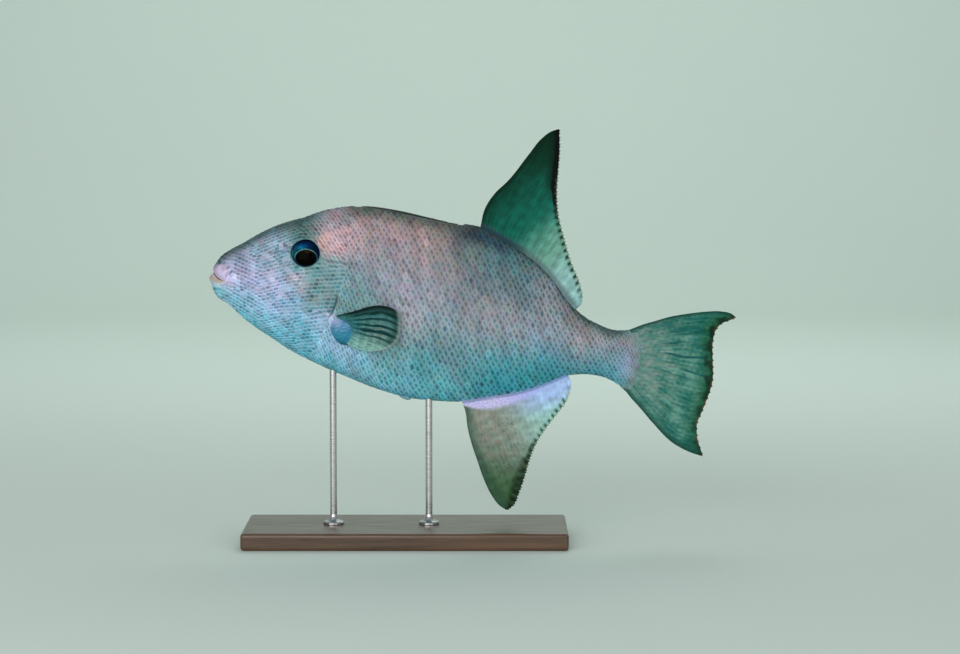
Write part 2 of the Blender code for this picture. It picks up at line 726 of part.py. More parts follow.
def make_material(name):
    colour, roughness, metallic = COLOURS[name]
    material = bpy.data.materials.new(name)
    material.use_nodes = True
    shader = material.node_tree.nodes["Principled BSDF"]
    shader.inputs["Base Color"].default_value = (*colour, 1.0)
    shader.inputs["Roughness"].default_value = roughness
    shader.inputs["Metallic"].default_value = metallic
    return material


def main():
    for obj in list(bpy.data.objects):
        bpy.data.objects.remove(obj, do_unlink=True)
    holder = bpy.data.collections.new("ocean_triggerfish")
    bpy.context.scene.collection.children.link(holder)
    materials = {name: make_material(name) for name in COLOURS}
    skin, membrane = materials["scaled_skin"], materials["fin_membrane"]

    fish = build_body(holder, skin)
    for name, side in (("left", -1), ("right", 1)):
        fish.append(build_eye(f"eye_{name}", side, holder, materials["eye"]))
        fish.append(pectoral_fin(f"pectoral_fin_{name}", side, holder, membrane))
    fish.append(first_dorsal(holder, materials["spine"]))
    fish.append(median_fin("second_dorsal_fin", SECOND_DORSAL, True, 4.0, holder, membrane))
    fish.append(median_fin("anal_fin", ANAL, False, 4.0, holder, membrane))
    fish.append(tail_fin(holder, membrane))
    fish.append(pelvic_knob(holder, skin))

    pose = bpy.data.objects.new("fish_pose", None)
    holder.objects.link(pose)
    pose.location = (SNOUT_X * MM, 0.0, SNOUT_HEIGHT * MM)
    pose.rotation_euler = (0.0, math.radians(PITCH), 0.0)
    for obj in fish:
        obj.parent = pose

    stand_base(holder, materials["stand_wood"])
    for name, x in ROD_X.items():
        stand_rod(f"stand_rod_{name}", x, holder, materials["stand_metal"])
    for obj in holder.objects:
        if obj.type == "MESH":
            obj.data.shade_smooth()


main()
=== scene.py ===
"""The looks of a life-size ocean triggerfish, held nose-up on a plain display stand.

The fish is drawn in its own frame, in millimetres: s runs rearwards from the snout along the
body's axis, y across it (the left flank is at -y) and t upwards. to_world places it over the
stand. One skin covers head, torso and tail stem, scale plates lie on it, and each fin is one
sheet with its rays.
"""

import json
import math

import bpy
import numpy as np
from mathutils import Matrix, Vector

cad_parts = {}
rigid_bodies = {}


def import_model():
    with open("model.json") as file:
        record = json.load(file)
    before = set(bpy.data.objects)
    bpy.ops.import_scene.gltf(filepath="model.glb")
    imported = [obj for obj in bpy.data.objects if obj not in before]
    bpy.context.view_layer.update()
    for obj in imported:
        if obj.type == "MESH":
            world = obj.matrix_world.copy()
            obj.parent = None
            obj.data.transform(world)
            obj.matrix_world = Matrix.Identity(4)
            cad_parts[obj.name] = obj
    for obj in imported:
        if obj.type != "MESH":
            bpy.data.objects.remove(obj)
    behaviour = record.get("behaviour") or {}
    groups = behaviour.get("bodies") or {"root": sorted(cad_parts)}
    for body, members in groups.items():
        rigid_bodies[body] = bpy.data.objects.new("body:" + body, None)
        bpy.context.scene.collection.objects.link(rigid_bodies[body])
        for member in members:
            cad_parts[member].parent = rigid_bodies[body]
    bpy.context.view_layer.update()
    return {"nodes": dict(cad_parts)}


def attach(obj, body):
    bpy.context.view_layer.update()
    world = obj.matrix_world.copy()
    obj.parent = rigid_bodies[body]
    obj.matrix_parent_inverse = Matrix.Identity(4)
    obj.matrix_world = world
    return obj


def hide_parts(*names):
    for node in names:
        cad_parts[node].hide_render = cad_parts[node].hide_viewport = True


for leftover in list(bpy.data.objects):
    bpy.data.objects.remove(leftover, do_unlink=True)
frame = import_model()

MM = 0.001
# The fish over its stand: degrees nose up, and the snout's place in millimetres
PITCH = 10.5
SNOUT_X = -226.4
SNOUT_HEIGHT = 232.0
# Sign of y on each flank
SIDES = {"left": -1, "right": 1}

# Profile of the trunk: (s, t) along the back and along the belly
BACK = [
    (2.5, 11.0), (6, 17.5), (12, 24.0), (24, 33.6), (35, 43.2), (47, 51.9), (59, 58.6), (71, 64.4),
    (83, 71.4), (95, 76.6), (107, 80.6), (120, 83.1), (146, 84.4), (173, 84.0), (199, 83.1),
    (221, 83.4), (246, 75.4), (276, 62.2), (291, 51.2), (306, 36.6), (315, 28.8), (325, 23.2),
    (337, 19.4), (349, 17.0), (356, 17.4), (368, 21.3), (376, 25.8), (386, 31.2),
]
BELLY = [
    (2.5, -4.5), (6, -11.5), (21, -22.8), (36, -32.3), (50, -39.4), (65, -45.6), (79, -51.6),
    (107, -59.8), (135, -66.3), (162, -71.5), (189, -73.6), (214, -71.6), (236, -68.0),
    (257, -60.4), (274, -54.8), (290, -47.4), (304, -39.0), (318, -30.2), (329, -26.8),
    (341, -25.0), (352, -25.6), (364, -29.6), (376, -37.8), (386, -45.6),
]
HALF_WIDTH = [
    (2.5, 4.6), (6, 7.4), (12, 10.0), (24, 13.8), (36, 17.2), (50, 20.3), (65, 22.8), (80, 24.6),
    (100, 26.3), (125, 27.6), (150, 28.0), (180, 27.0), (210, 24.6), (240, 20.8), (270, 16.8),
    (300, 13.0), (320, 11.0), (340, 9.2), (356, 6.8), (366, 4.8), (376, 3.2), (386, 0.7),
]
WIDEST_LEVEL = [
    (2.5, 2.0), (24, 7.0), (50, 13.0), (80, 17.0), (110, 12.0), (150, 6.0), (200, 2.0), (250, -1.0),
    (300, -4.0), (340, -4.2), (376, -6.0), (386, -7.0),
]
RIDGE = [(2.5, 0.95), (40, 1.05), (80, 1.12), (140, 1.2), (220, 1.25), (376, 1.15)]
TRUNK_START = 2.5
SKIN_END_S = 385.0
# Depth of the scale coat: the skin lies this far inside the trunk's surface
COAT = 0.5

# Head
EYE = {"s": 78.3, "t": 35.2, "radius": 12.2, "depth": 5.6, "sunk": 1.3, "wide": 1.05, "high": 0.93}
GILL_SLIT = [(111.4, 12.0), (112.0, 3.0), (110.3, -9.0), (107.0, -18.5)]
BROW_GROOVE = [(47.0, 29.6), (55.5, 32.4), (64.0, 34.0)]
NOSTRILS = [(53.6, 37.0), (58.6, 39.4)]
GROOVE = {"start": 113.0, "end": 207.0, "half_width": 3.0, "depth": 3.4}

# Rings of the mouth, each as (turn from the top in degrees, s, y, t), from inside to the crease
MOUTH_INSIDE = [(0, 6.4, 0.0, 3.4), (30, 6.8, 3.0, 2.6), (60, 8.8, 5.6, -0.2), (90, 11.6, 8.8, -1.6),
                (120, 8.8, 5.6, -0.8), (150, 6.6, 3.0, 1.9), (180, 6.2, 0.0, 2.7)]
MOUTH_EDGE = [(0, 2.6, 0.0, 3.7), (30, 3.3, 4.0, 2.9), (55, 6.0, 7.6, 0.4), (75, 9.4, 9.9, -1.1),
              (90, 12.4, 11.2, -1.7), (105, 9.4, 9.9, -1.7), (125, 6.2, 7.6, -0.6), (150, 3.2, 4.2, 1.7),
              (180, 2.2, 0.0, 2.5)]
LIP_CREST = [(0, 1.4, 0.0, 7.0), (30, 2.1, 4.6, 6.4), (55, 5.2, 8.6, 4.0), (75, 9.2, 10.9, 1.4),
             (90, 14.0, 12.2, -1.6), (105, 10.4, 11.2, -3.2), (125, 5.6, 8.9, -3.8), (150, 1.4, 5.2, -3.0),
             (180, -0.5, 0.0, -2.4)]
LIP_CREASE = [(0, 3.1, 0.0, 11.9), (30, 4.6, 5.4, 10.6), (55, 8.0, 8.8, 7.8), (75, 12.0, 10.8, 3.6),
              (90, 16.0, 12.6, -1.6), (105, 13.6, 12.0, -4.9), (125, 8.6, 10.2, -6.9),
              (150, 4.2, 6.2, -7.6), (180, 2.2, 0.0, -7.2)]
HEAD_JOIN_S = 20.0

# Fins, in (s, t): root on the trunk, front edge, tip, outer margin, its last point and rear edge
SECOND_DORSAL = {
    "root": (221.5, 315.0),
    "front": [(222.6, 100.0), (228.5, 114.0), (237.5, 126.5), (251.5, 153), (259.0, 167.0),
              (266.0, 174.8)],
    "tip": (273.9, 179.2),
    "margin": [(277.6, 161), (279.8, 141.7), (281.8, 125), (286.6, 106), (294.6, 88.5),
               (304.0, 69.6), (315, 52.4)],
    "last": (322.0, 37.0),
    "back": [],
    "rays": 26,
    "sheath": 11.0,
}
ANAL = {
    "root": (233.0, 319.0),
    "front": [(238.2, -77.0), (242, -88.9), (247.5, -101.5), (256, -117.0), (265, -132.8),
              (273.5, -144.4), (282.3, -152.4)],
    "tip": (290.2, -155.6),
    "margin": [(294.8, -150.8), (297.9, -138.5), (300.2, -121.4), (301.2, -110.5), (303.2, -97.2),
               (309.4, -79.6), (316.0, -66.2), (322.9, -52.0)],
    "last": (325.5, -38.0),
    "back": [],
    "rays": 24,
    "sheath": 12.0,
}
CAUDAL = {
    "root": (19.4, -32.0),
    "front": [(376, 26.4), (386, 31.4), (396, 36.4), (411, 42.0), (426, 46.6), (440, 49.4),
              (448, 49.2)],
    "tip": (454.4, 46.2),
    "margin": [(451.2, 43.8), (443, 38.4), (439.2, 32), (438.6, 22), (440.8, 9), (443.6, -4),
               (444.6, -13), (443, -26), (440.4, -39), (438.2, -51), (440.0, -60)],
    "last": (448.6, -77.4),
    "back": [(376, -37.9), (386, -45.6), (400, -57.0), (419.5, -70.4), (436.8, -76.0)],
    "rays": 12,
}
PECTORAL = {
    "root": [(114.0, -12.4), (121.5, -18.0), (124.5, -26.0), (122.5, -33.0)],
    "front": [(122.5, -8.4), (132.0, -3.8), (140.6, 0.8), (148.6, 3.5), (157.6, 3.9)],
    "tip": (166.4, 1.2),
    "margin": [(169.2, -4.0), (170.4, -11), (171.2, -19), (168.0, -26.5), (158.5, -33.4)],
    "last": (148.0, -37.0),
    "back": [(136.0, -37.0)],
    "rays": 14,
}
PAD = {"s": 122.0, "t": -24.4, "length": 12.8, "breadth": 9.8, "height": 5.8, "tilt": -55.0}
PECTORAL_LIFT = 1.8
PECTORAL_FLARE = 0.34

# Scale plates: the middle flank's rhombs, and where the small plates of the head give way to them
RHOMB_WIDTH = 5.15
RHOMB_HEIGHT = 8.15
RHOMB_LEAN = 0.09
HEAD_EDGE = [(-60, 92.0), (-45, 100.0), (-30, 105.5), (-18.5, 107.5), (0, 113.0), (20, 114.5),
             (40, 114.0), (60, 112.0), (90, 110.0)]

# Named places of the hide: s, t, reach and mean colour
# Colours along the back and over the crown are partly painted shade on the upper side.
# The teal of the lower places (chin, jaw, throat, breast, lower flank, belly, vent, lower stem) is partly
# painted light from below, tinted by the water.
PLACES = {
    "lips_root": (9, 6, 5, (184, 180, 212)),
    "mouth_side": (17, 1, 6, (204, 202, 244)),
    "chin_front": (10, -11, 6, (110, 163, 175)),
    "snout": (18, 19, 9, (122, 133, 156)),
    "snout_side": (28, 4, 10, (158, 167, 204)),
    "forehead": (40, 35, 13, (133, 157, 176)),
    "brow": (70, 55, 10, (88, 109, 106)),
    "peach": (94, 47, 4.5, (214, 172, 160)),
    "nape": (97, 67, 11, (135, 132, 141)),
    "temple": (101, 50, 8.5, (181, 162, 171)),
    "shoulder_front": (108, 52, 8, (184, 164, 174)),
    "brow_side": (59, 35, 6, (138, 176, 194)),
    "preorbital": (56, 21, 11, (124, 153, 170)),
    # Painted highlight: a pale pinkish patch of light under the eye
    "blush": (76, 10, 7, (178, 176, 190)),
    "cheek_pit": (71, -4, 9, (112, 149, 176)),
    "cheek": (51, 5, 12, (160, 167, 203)),
    "lower_cheek": (57, -17, 14, (170, 195, 233)),
    "jaw": (29, -17, 12, (116, 168, 189)),
    "throat": (51, -34, 14, (84, 160, 174)),
    "throat_rear": (87, -43, 17, (106, 166, 188)),
    "gill_cover": (96, 8, 13, (108, 132, 134)),
    "under_eye": (77, 16, 8, (140, 168, 184)),
    "behind_eye_low": (90, 20, 6, (78, 120, 120)),
    "behind_gill": (111, 18, 12, (114, 150, 160)),
    "axil": (131, 1, 13, (106, 140, 140)),
    "breast": (119, -43, 13, (162, 198, 232)),
    "below_fin": (144, -44, 10, (122, 178, 210)),
    "before_pad": (101, -18, 6, (148, 174, 206)),
    "shoulder": (128, 58, 16, (160, 145, 148)),
    "front_flank": (140, 33, 16, (124, 139, 152)),
    "upper_flank": (160, 47, 17, (150, 147, 159)),
    "upper_bright": (181, 61, 8, (168, 154, 156)),
    # Painted light: paler than the flank round it, to make up for the pectoral fin's cast shadow
    "painted_light_behind_fin": (176, -8, 9, (194, 198, 206)),
    "middle_flank": (180, 13, 26, (147, 153, 167)),
    "lower_flank": (154, -29, 17, (118, 154, 150)),
    "mid_lower_flank": (197, -26, 22, (102, 136, 142)),
    "low_spot": (194, -40, 8, (60, 132, 142)),
    "belly": (180, -57, 19, (111, 180, 200)),
    "belly_edge": (208, -68, 12, (94, 172, 184)),
    "belly_front": (112, -60, 11, (72, 158, 168)),
    "back": (171, 72, 20, (150, 128, 125)),
    "upper_rear": (201, 57, 17, (121, 120, 118)),
    "middle_spot": (219, 29, 9, (110, 114, 120)),
    "dorsal_root": (247, 54, 19, (83, 104, 109)),
    "rear_spot": (271, 33, 8, (88, 104, 112)),
    "rear_flank": (243, 13, 23, (140, 140, 149)),
    "rear_lower_flank": (253, -33, 19, (92, 149, 158)),
    "vent": (265, -48, 13, (46, 130, 149)),
    "dorsal_base": (293, 43, 9, (134, 143, 149)),
    "rear_back": (292, 30, 15, (117, 121, 124)),
    "stem_flank": (294, 2, 17, (136, 149, 167)),
    "stem_top": (316, 20, 7, (104, 98, 96)),
    "stem_root_low": (298, -26, 14, (62, 135, 145)),
    "upper_stem": (338, 9, 15, (144, 134, 135)),
    "middle_stem": (346, -7, 12, (117, 149, 167)),
    "lower_stem": (344, -22, 11, (66, 133, 145)),
}
PLACE_SPREAD = 1.35
PLATE_CONTRAST = 1.35


# Curves and sections

def smooth(rows):
    """Smooth curve through rows of (x, value...), as a function of an array of x."""
    rows = np.array(rows, float)
    xs, ys = rows[:, 0], rows[:, 1:]
    steps = np.diff(xs)[:, None]
    rises = np.diff(ys, axis=0) / steps
    slopes = np.empty_like(ys)
    slopes[0], slopes[-1] = rises[0], rises[-1]
    slopes[1:-1] = (rises[:-1] * steps[1:] + rises[1:] * steps[:-1]) / (steps[:-1] + steps[1:])

    def read(x):
        x = np.asarray(x, float)
        i = np.clip(np.searchsorted(xs, x) - 1, 0, len(xs) - 2)
        h = steps[i]
        f = ((x - xs[i])[..., None]) / h
        value = (
            ys[i] * (1 + 2 * f) * (1 - f) ** 2 + slopes[i] * h * f * (1 - f) ** 2
            + ys[i + 1] * f * f * (3 - 2 * f) - slopes[i + 1] * h * f * f * (1 - f)
        )
        return value[..., 0] if ys.shape[1] == 1 else value

    return read


def path_through(points):
    """Smooth path through the points, read at a fraction of its length."""
    points = np.array(points, float)
    lengths = np.linalg.norm(np.diff(points, axis=0), axis=1)
    places = np.concatenate([[0], np.cumsum(lengths)]) / lengths.sum()
    return smooth(np.column_stack([places, points]))


back, belly, half_width = smooth(BACK), smooth(BELLY), smooth(HALF_WIDTH)
widest, ridge = smooth(WIDEST_LEVEL), smooth(RIDGE)


def half_height(s, level, upper):
    """Height of the trunk's upper or lower half, from the level where it is widest."""
    return np.where(upper, back(s) - level, level - belly(s))


def section(s, turn):
    """Points of the trunk's section: turn 0 is the back, pi/2 the left flank, pi the belly."""
    s = np.maximum(s, TRUNK_START)
    level = widest(s)
    height = level + half_height(s, level, np.cos(turn) >= 0) * np.cos(turn)
    across = -half_width(s) * np.sign(np.sin(turn)) * np.abs(np.sin(turn)) ** ridge(s)
    return np.stack([s + 0 * across, across, height], -1)


def flank(s, t):
    """Half width of the trunk at the height t."""
    level = widest(s)
    share = np.minimum(np.abs(t - level) / half_height(s, level, t > level), 1.0)
    return half_width(s) * (1 - share * share) ** (ridge(s) / 2)


def unit(vectors):
    return vectors / np.maximum(np.linalg.norm(vectors, axis=-1, keepdims=True), 1e-9)


def bump(distance, width):
    return np.exp(-((distance / width) ** 2))


def ease(low, high, x):
    """Soft step: 0 at low and 1 at high. It falls where low is the larger."""
    f = np.clip((x - low) / (high - low), 0, 1)
    return f * f * (3 - 2 * f)


def round_turns(count):
    """Even turns once round, in radians."""
    return np.arange(count) / count * 2 * math.pi


def turned(x, y, angle):
    """x and y turned by the angle."""
    return x * np.cos(angle) - y * np.sin(angle), x * np.sin(angle) + y * np.cos(angle)


def line_distance(s, t, points):
    """Distance from the path through the points, and the signed side (positive rearwards)."""
    path = path_through(points)(np.linspace(0, 1, 25))
    best = np.full(np.shape(s), 1e9)
    side = np.zeros(np.shape(s))
    for a, b in zip(path, path[1:]):
        run = b - a
        f = np.clip(((s - a[0]) * run[0] + (t - a[1]) * run[1]) / (run @ run), 0, 1)
        ds, dt = s - a[0] - f * run[0], t - a[1] - f * run[1]
        distance = np.hypot(ds, dt)
        nearer = distance < best
        best = np.where(nearer, distance, best)
        side = np.where(nearer, np.sign(run[0] * dt - run[1] * ds), side)
    return best, side


def wave(seed, s, t, size):
    """Soft uneven field between about -1 and 1, of features as large as size."""
    draw = np.random.default_rng(seed)
    total = 0
    for _ in range(5):
        turn, phase, scale = draw.uniform(0, 2 * math.pi), draw.uniform(0, 6.3), draw.uniform(0.7, 1.6)
        total = total + np.sin((s * math.cos(turn) + t * math.sin(turn)) * scale * 3.1 / size + phase)
    return total / 2.4


def eye_distance(s, t):
    """Distance from the middle of the eye, in a measure where its rim is a circle."""
    return np.hypot((s - EYE["s"]) / EYE["wide"], (t - EYE["t"]) / EYE["high"])


def over_groove(s, t):
    return (s > GROOVE["start"] - 1) & (s < GROOVE["end"] + 1) & (t > 40)


def ball_grid(rows, columns, start, end):
    """Falls from the pole, from start to end, and the sideways places of a unit ball's points."""
    fall, turn = np.linspace(start, end, rows)[:, None], round_turns(columns)
    return fall, np.sin(fall) * np.cos(turn), np.sin(fall) * np.sin(turn)


def relief(s, t, across):
    """How far the skin stands out of the trunk's plain section, in millimetres.

    In turn: the eye's rim and socket, the gill slit with its raised front edge, the groove before
    the eye, the nostrils in their rims, the groove of the back, and a faint unevenness.
    """
    from_eye = eye_distance(s, t)
    out = 0.7 * bump(from_eye - 13.6, 1.6) - 0.3 * bump(from_eye - 18.0, 2.5)
    out = out - 3.6 * ease(12.7, 10.8, from_eye)
    slit, side = line_distance(s, t, GILL_SLIT)
    beside = ease(9, 2, t) * ease(-22, -14, t)
    out = out - 1.3 * beside * bump(slit, 0.7)
    out = out + 0.45 * beside * np.where(side < 0, bump(slit - 1.9, 2.2), 0)
    brow, _ = line_distance(s, t, BROW_GROOVE)
    out = out - 0.9 * bump(brow, 0.9) + 0.25 * bump(brow - 2.2, 1.2)
    for hole_s, hole_t in NOSTRILS:
        near = np.hypot(s - hole_s, t - hole_t)
        out = out - 1.3 * bump(near, 0.75) + 0.4 * bump(near - 1.5, 0.5)
    start, end = GROOVE["start"], GROOVE["end"]
    f = np.clip((s - start) / (end - start), 0, 1)
    wide = GROOVE["half_width"] * (0.5 + 0.5 * np.sin(math.pi * f) ** 0.4)
    depth = np.where(over_groove(s, t), ease(wide * 1.12, wide * 0.75, np.abs(across)), 0)
    ends = ease(start - 1, start + 3, s) * ease(end + 1, end - 3, s)
    out = out - GROOVE["depth"] * depth * ends
    return out + 0.12 * wave(3, s, t, 26)


def ring_curve(points):
    """Closed ring through points given for one half, read at turns from 0 to 2 pi."""
    half = [(math.radians(a), s, -y, t) for a, s, y, t in points]
    other = [(2 * math.pi - a, s, -y, t) for a, s, y, t in half[::-1]]
    start = [(a - 2 * math.pi, s, y, t) for a, s, y, t in other[-3:-1]]
    end = [(a + 2 * math.pi, s, y, t) for a, s, y, t in half[1:3]]
    return smooth(start + half + other[1:] + end)


def tail_arc(s, t):
    """How far rearwards of the arc where the scaled root of the tail ends."""
    return s - (382.0 - 0.018 * np.minimum((t + 9.0) ** 2, 1000.0))


def trunk_hide(s, turn, lift=0.0):
    """Points of the skin over the plain trunk, sunk by the depth of the scale coat and then lifted."""
    plain = section(s, turn)
    along = section(s + 0.5, turn) - section(s - 0.5, turn)
    round_body = section(s, turn + 0.012) - section(s, turn - 0.012)
    normal = unit(np.cross(round_body, along))
    rise = relief(plain[..., 0], plain[..., 2], plain[..., 1]) - COAT + lift
    points = plain + normal * np.asarray(rise)[..., None]
    points[..., 1] *= 1 - 0.8 * ease(0.5, 6.0, tail_arc(points[..., 0], points[..., 2]))
    return points


def fit_to_lips():
    """By turn: where the lips' crease lies along the trunk, and its offset from the plain trunk there."""
    turn = np.linspace(0, 2 * math.pi, 145)
    crease = ring_curve(LIP_CREASE)(turn)
    start = np.clip(crease[:, 0], 3.2, HEAD_JOIN_S - 3)
    return smooth(np.column_stack([turn, start, crease - trunk_hide(start, turn, COAT)]))


lip_fit = fit_to_lips()


def behind_lips(s, turn):
    """Share of the way from the lips' crease back to the plain trunk, and the crease's offset."""
    fit = lip_fit(np.mod(turn, 2 * math.pi))
    start = fit[..., 0]
    return (s - start) / (HEAD_JOIN_S - start), fit[..., 1:]


def hide(s, turn, lift=0.0):
    """Points of the whole body's skin, with a lift for what lies on it."""
    share, offset = behind_lips(s, turn)
    share = np.clip(share, 0, 1)
    thin_coat = COAT * ease(1, 0.2, share)
    return trunk_hide(s, turn, lift + thin_coat) + offset * ((1 - share) ** 2)[..., None]


def to_world(points):
    """From the fish's frame, in millimetres, to the row frame, in metres."""
    s, y, t = np.moveaxis(np.asarray(points, float), -1, 0)
    across, up = turned(s, t, -math.radians(PITCH))
    return np.stack([SNOUT_X + across, y, SNOUT_HEIGHT + up], -1) * MM


# Meshes

def linear(colours):
    """From 0-255 screen colours to the linear light that a shader takes."""
    c = np.clip(np.asarray(colours, float) / 255, 0, 1)
    return np.where(c <= 0.04045, c / 12.92, ((c + 0.055) / 1.055) ** 2.4)


def mix(a, b, share):
    share = np.asarray(share, float)[..., None]
    return np.asarray(a, float) * (1 - share) + np.asarray(b, float) * share


def painted(colours, *layers):
    """The colours with layers over them in turn, each a (colour, share)."""
    for colour, share in layers:
        colours = mix(colours, colour, share)
    return colours


def grid_faces(rows, columns, start=0, wrap=False, flip=False):
    """Quads of a grid whose points run row by row."""
    index = start + np.arange(rows * columns).reshape(rows, columns)
    if wrap:
        index = np.column_stack([index, index[:, :1]])
    quads = np.stack([index[:-1, :-1], index[:-1, 1:], index[1:, 1:], index[1:, :-1]], -1).reshape(-1, 4)
    return quads[:, ::-1] if flip else quads


def tube_faces(rows, columns, start=0, flip=True):
    """Quads of a tube of rings, and a cap on its first and its last ring."""
    first = start + np.arange(columns)[None]
    caps = [first, (first + (rows - 1) * columns)[:, ::-1]]
    if not flip:
        caps = [cap[:, ::-1] for cap in caps]
    return [grid_faces(rows, columns, start, wrap=True, flip=flip), *caps]


def sheet_faces(rows, columns, start=0, flip=False):
    """Quads of a closed sheet: two grids of points, one after the other, joined round their edge."""
    other_start = start + rows * columns
    index = np.arange(start, other_start).reshape(rows, columns)
    other = index + rows * columns
    faces = [grid_faces(rows, columns, start), grid_faces(rows, columns, other_start, flip=True)]
    for a, b in ((index[:, 0], other[:, 0]), (other[:, -1], index[:, -1]),
                 (other[0], index[0]), (index[-1], other[-1])):
        faces.append(np.stack([a[1:], b[1:], b[:-1], a[:-1]], -1))
    return [face[:, ::-1] for face in faces] if flip else faces


def make_piece(name, points, faces, colours, material, extra=None, patches=None):
    """Mesh piece from points in the fish's frame, lists of face arrays and a colour for each point."""
    points, colours = np.reshape(points, (-1, 3)), np.reshape(colours, (-1, 3))
    mesh = bpy.data.meshes.new(name)
    mesh.vertices.add(len(points))
    mesh.vertices.foreach_set("co", to_world(points).astype(np.float32).ravel())
    faces = [np.asarray(f, np.int32) for f in faces if len(f)]
    corners = np.concatenate([f.ravel() for f in faces])
    sizes = np.concatenate([np.full(len(f), f.shape[1]) for f in faces])
    mesh.loops.add(len(corners))
    mesh.loops.foreach_set("vertex_index", corners)
    mesh.polygons.add(len(sizes))
    mesh.polygons.foreach_set("loop_start", np.concatenate([[0], np.cumsum(sizes)[:-1]]).astype(np.int32))
    mesh.update(calc_edges=True)
    markings = mesh.color_attributes.new("markings", "FLOAT_COLOR", "POINT")
    rgba = np.column_stack([linear(colours), np.ones(len(points))])
    markings.data.foreach_set("color", rgba.astype(np.float32).ravel())
    if extra is not None:
        place = mesh.attributes.new("place", "FLOAT_VECTOR", "POINT")
        place.data.foreach_set("vector", np.asarray(extra, np.float32).ravel())
    if patches is not None:
        layer = mesh.uv_layers.new(name="OFBake")
        layer.data.foreach_set("uv", patches[corners].astype(np.float32).ravel())
    mesh.validate()
    mesh.shade_smooth()
    mesh.materials.append(material)
    piece = bpy.data.objects.new(name, mesh)
    bpy.context.scene.collection.objects.link(piece)
    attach(piece, "root")
    return piece


# Materials

class Shader:
    """Short way to wire a material's nodes."""

    def __init__(self, name, roughness, **constants):
        self.material = bpy.data.materials.new(name)
        self.material.use_nodes = True
        self.tree = self.material.node_tree
        self.surface = self.tree.nodes["Principled BSDF"]
        self.surface.inputs["Roughness"].default_value = roughness
        for socket, value in constants.items():
            self.surface.inputs[socket.replace("_", " ")].default_value = value

    def node(self, kind, inputs=None, **settings):
        made = self.tree.nodes.new("ShaderNode" + kind)
        for key, value in settings.items():
            setattr(made, key, value)
        for key, value in (inputs or {}).items():
            self.put(value, made.inputs[key])
        return made

    def put(self, value, socket):
        if isinstance(value, bpy.types.NodeSocket):
            self.tree.links.new(value, socket)
        else:
            socket.default_value = value

    def attribute(self, name):
        return self.node("Attribute", attribute_name=name)

    def coordinates(self, scale=(1, 1, 1)):
        place = self.node("TexCoord").outputs["Object"]
        return self.node("Mapping", {"Vector": place, "Scale": scale}).outputs["Vector"]

    def noise(self, scale, detail=3.0, vector=None, roughness=0.5):
        inputs = {"Scale": scale, "Detail": detail, "Roughness": roughness}
        inputs["Vector"] = vector if vector is not None else self.coordinates()
        return self.node("TexNoise", inputs).outputs["Fac"]

    def math(self, operation, a, b=0.0, c=0.0):
        made = self.node("Math", operation=operation)
        for k, value in enumerate((a, b, c)):
            self.put(value, made.inputs[k])
        return made.outputs[0]

    def blend(self, share, a, b):
        made = self.node("Mix", data_type="RGBA")
        for socket, value in ((0, share), (6, a), (7, b)):
            self.put(value, made.inputs[socket])
        return made.outputs[2]

    def remap(self, value, low, high, to_low, to_high):
        inputs = {"Value": value, "From Min": low, "From Max": high, "To Min": to_low, "To Max": to_high}
        return self.node("MapRange", inputs).outputs["Result"]

    def coloured(self, colour):
        self.put(colour, self.surface.inputs["Base Color"])

    def roughened(self, value, low, high):
        """Roughness from low to high as a noise goes over its usual range."""
        self.put(self.remap(value, 0.3, 0.7, low, high), self.surface.inputs["Roughness"])

    def bumped(self, height, strength, distance):
        inputs = {"Height": height, "Strength": strength, "Distance": distance}
        self.put(self.node("Bump", inputs).outputs["Normal"], self.surface.inputs["Normal"])

    def product(self, a, b):
        return self.node("VectorMath", {0: a, 1: b}, operation="MULTIPLY").outputs[0]

    def speckled(self, colour, size, strength):
        """The colour, lightened, darkened and tinted by fine uneven grain."""
        inputs = {"Vector": self.coordinates(), "Scale": size, "Detail": 4.0}
        grain = self.node("TexNoise", inputs).outputs["Color"]
        steps = {0: grain, 1: (2.5 * strength,) * 3, 2: (1 - 1.25 * strength,) * 3}
        tint = self.node("VectorMath", steps, operation="MULTIPLY_ADD").outputs[0]
        return self.product(colour, tint)

    def marked(self, size, strength):
        """The mesh's own markings for colour, speckled."""
        self.coloured(self.speckled(self.attribute("markings").outputs["Color"], size, strength))


def hide_material():
    """Smooth skin with fine pores, as between and around the scales."""
    shader = Shader("smooth_hide", 0.5, Coat_Weight=0.05, Coat_Roughness=0.4, Specular_IOR_Level=0.3)
    shader.marked(620.0, 0.12)
    shader.roughened(shader.noise(240.0), 0.42, 0.6)
    height = shader.math("ADD", shader.noise(1500.0, 4.0), shader.noise(420.0, 2.0))
    shader.bumped(height, 0.35, 0.0004)
    return shader.material


def scale_material():
    """Rough horny plate: small tubercles that catch the light."""
    shader = Shader("scale_plates", 0.52, Coat_Weight=0.04, Coat_Roughness=0.4, Specular_IOR_Level=0.3)
    shader.marked(760.0, 0.17)
    cells = shader.node("TexVoronoi", {"Vector": shader.coordinates(), "Scale": 1500.0})
    grains = shader.remap(cells.outputs["Distance"], 0.0, 0.6, 1.0, 0.0)
    shader.roughened(shader.noise(500.0), 0.42, 0.64)
    shader.bumped(grains, 0.4, 0.00035)
    return shader.material


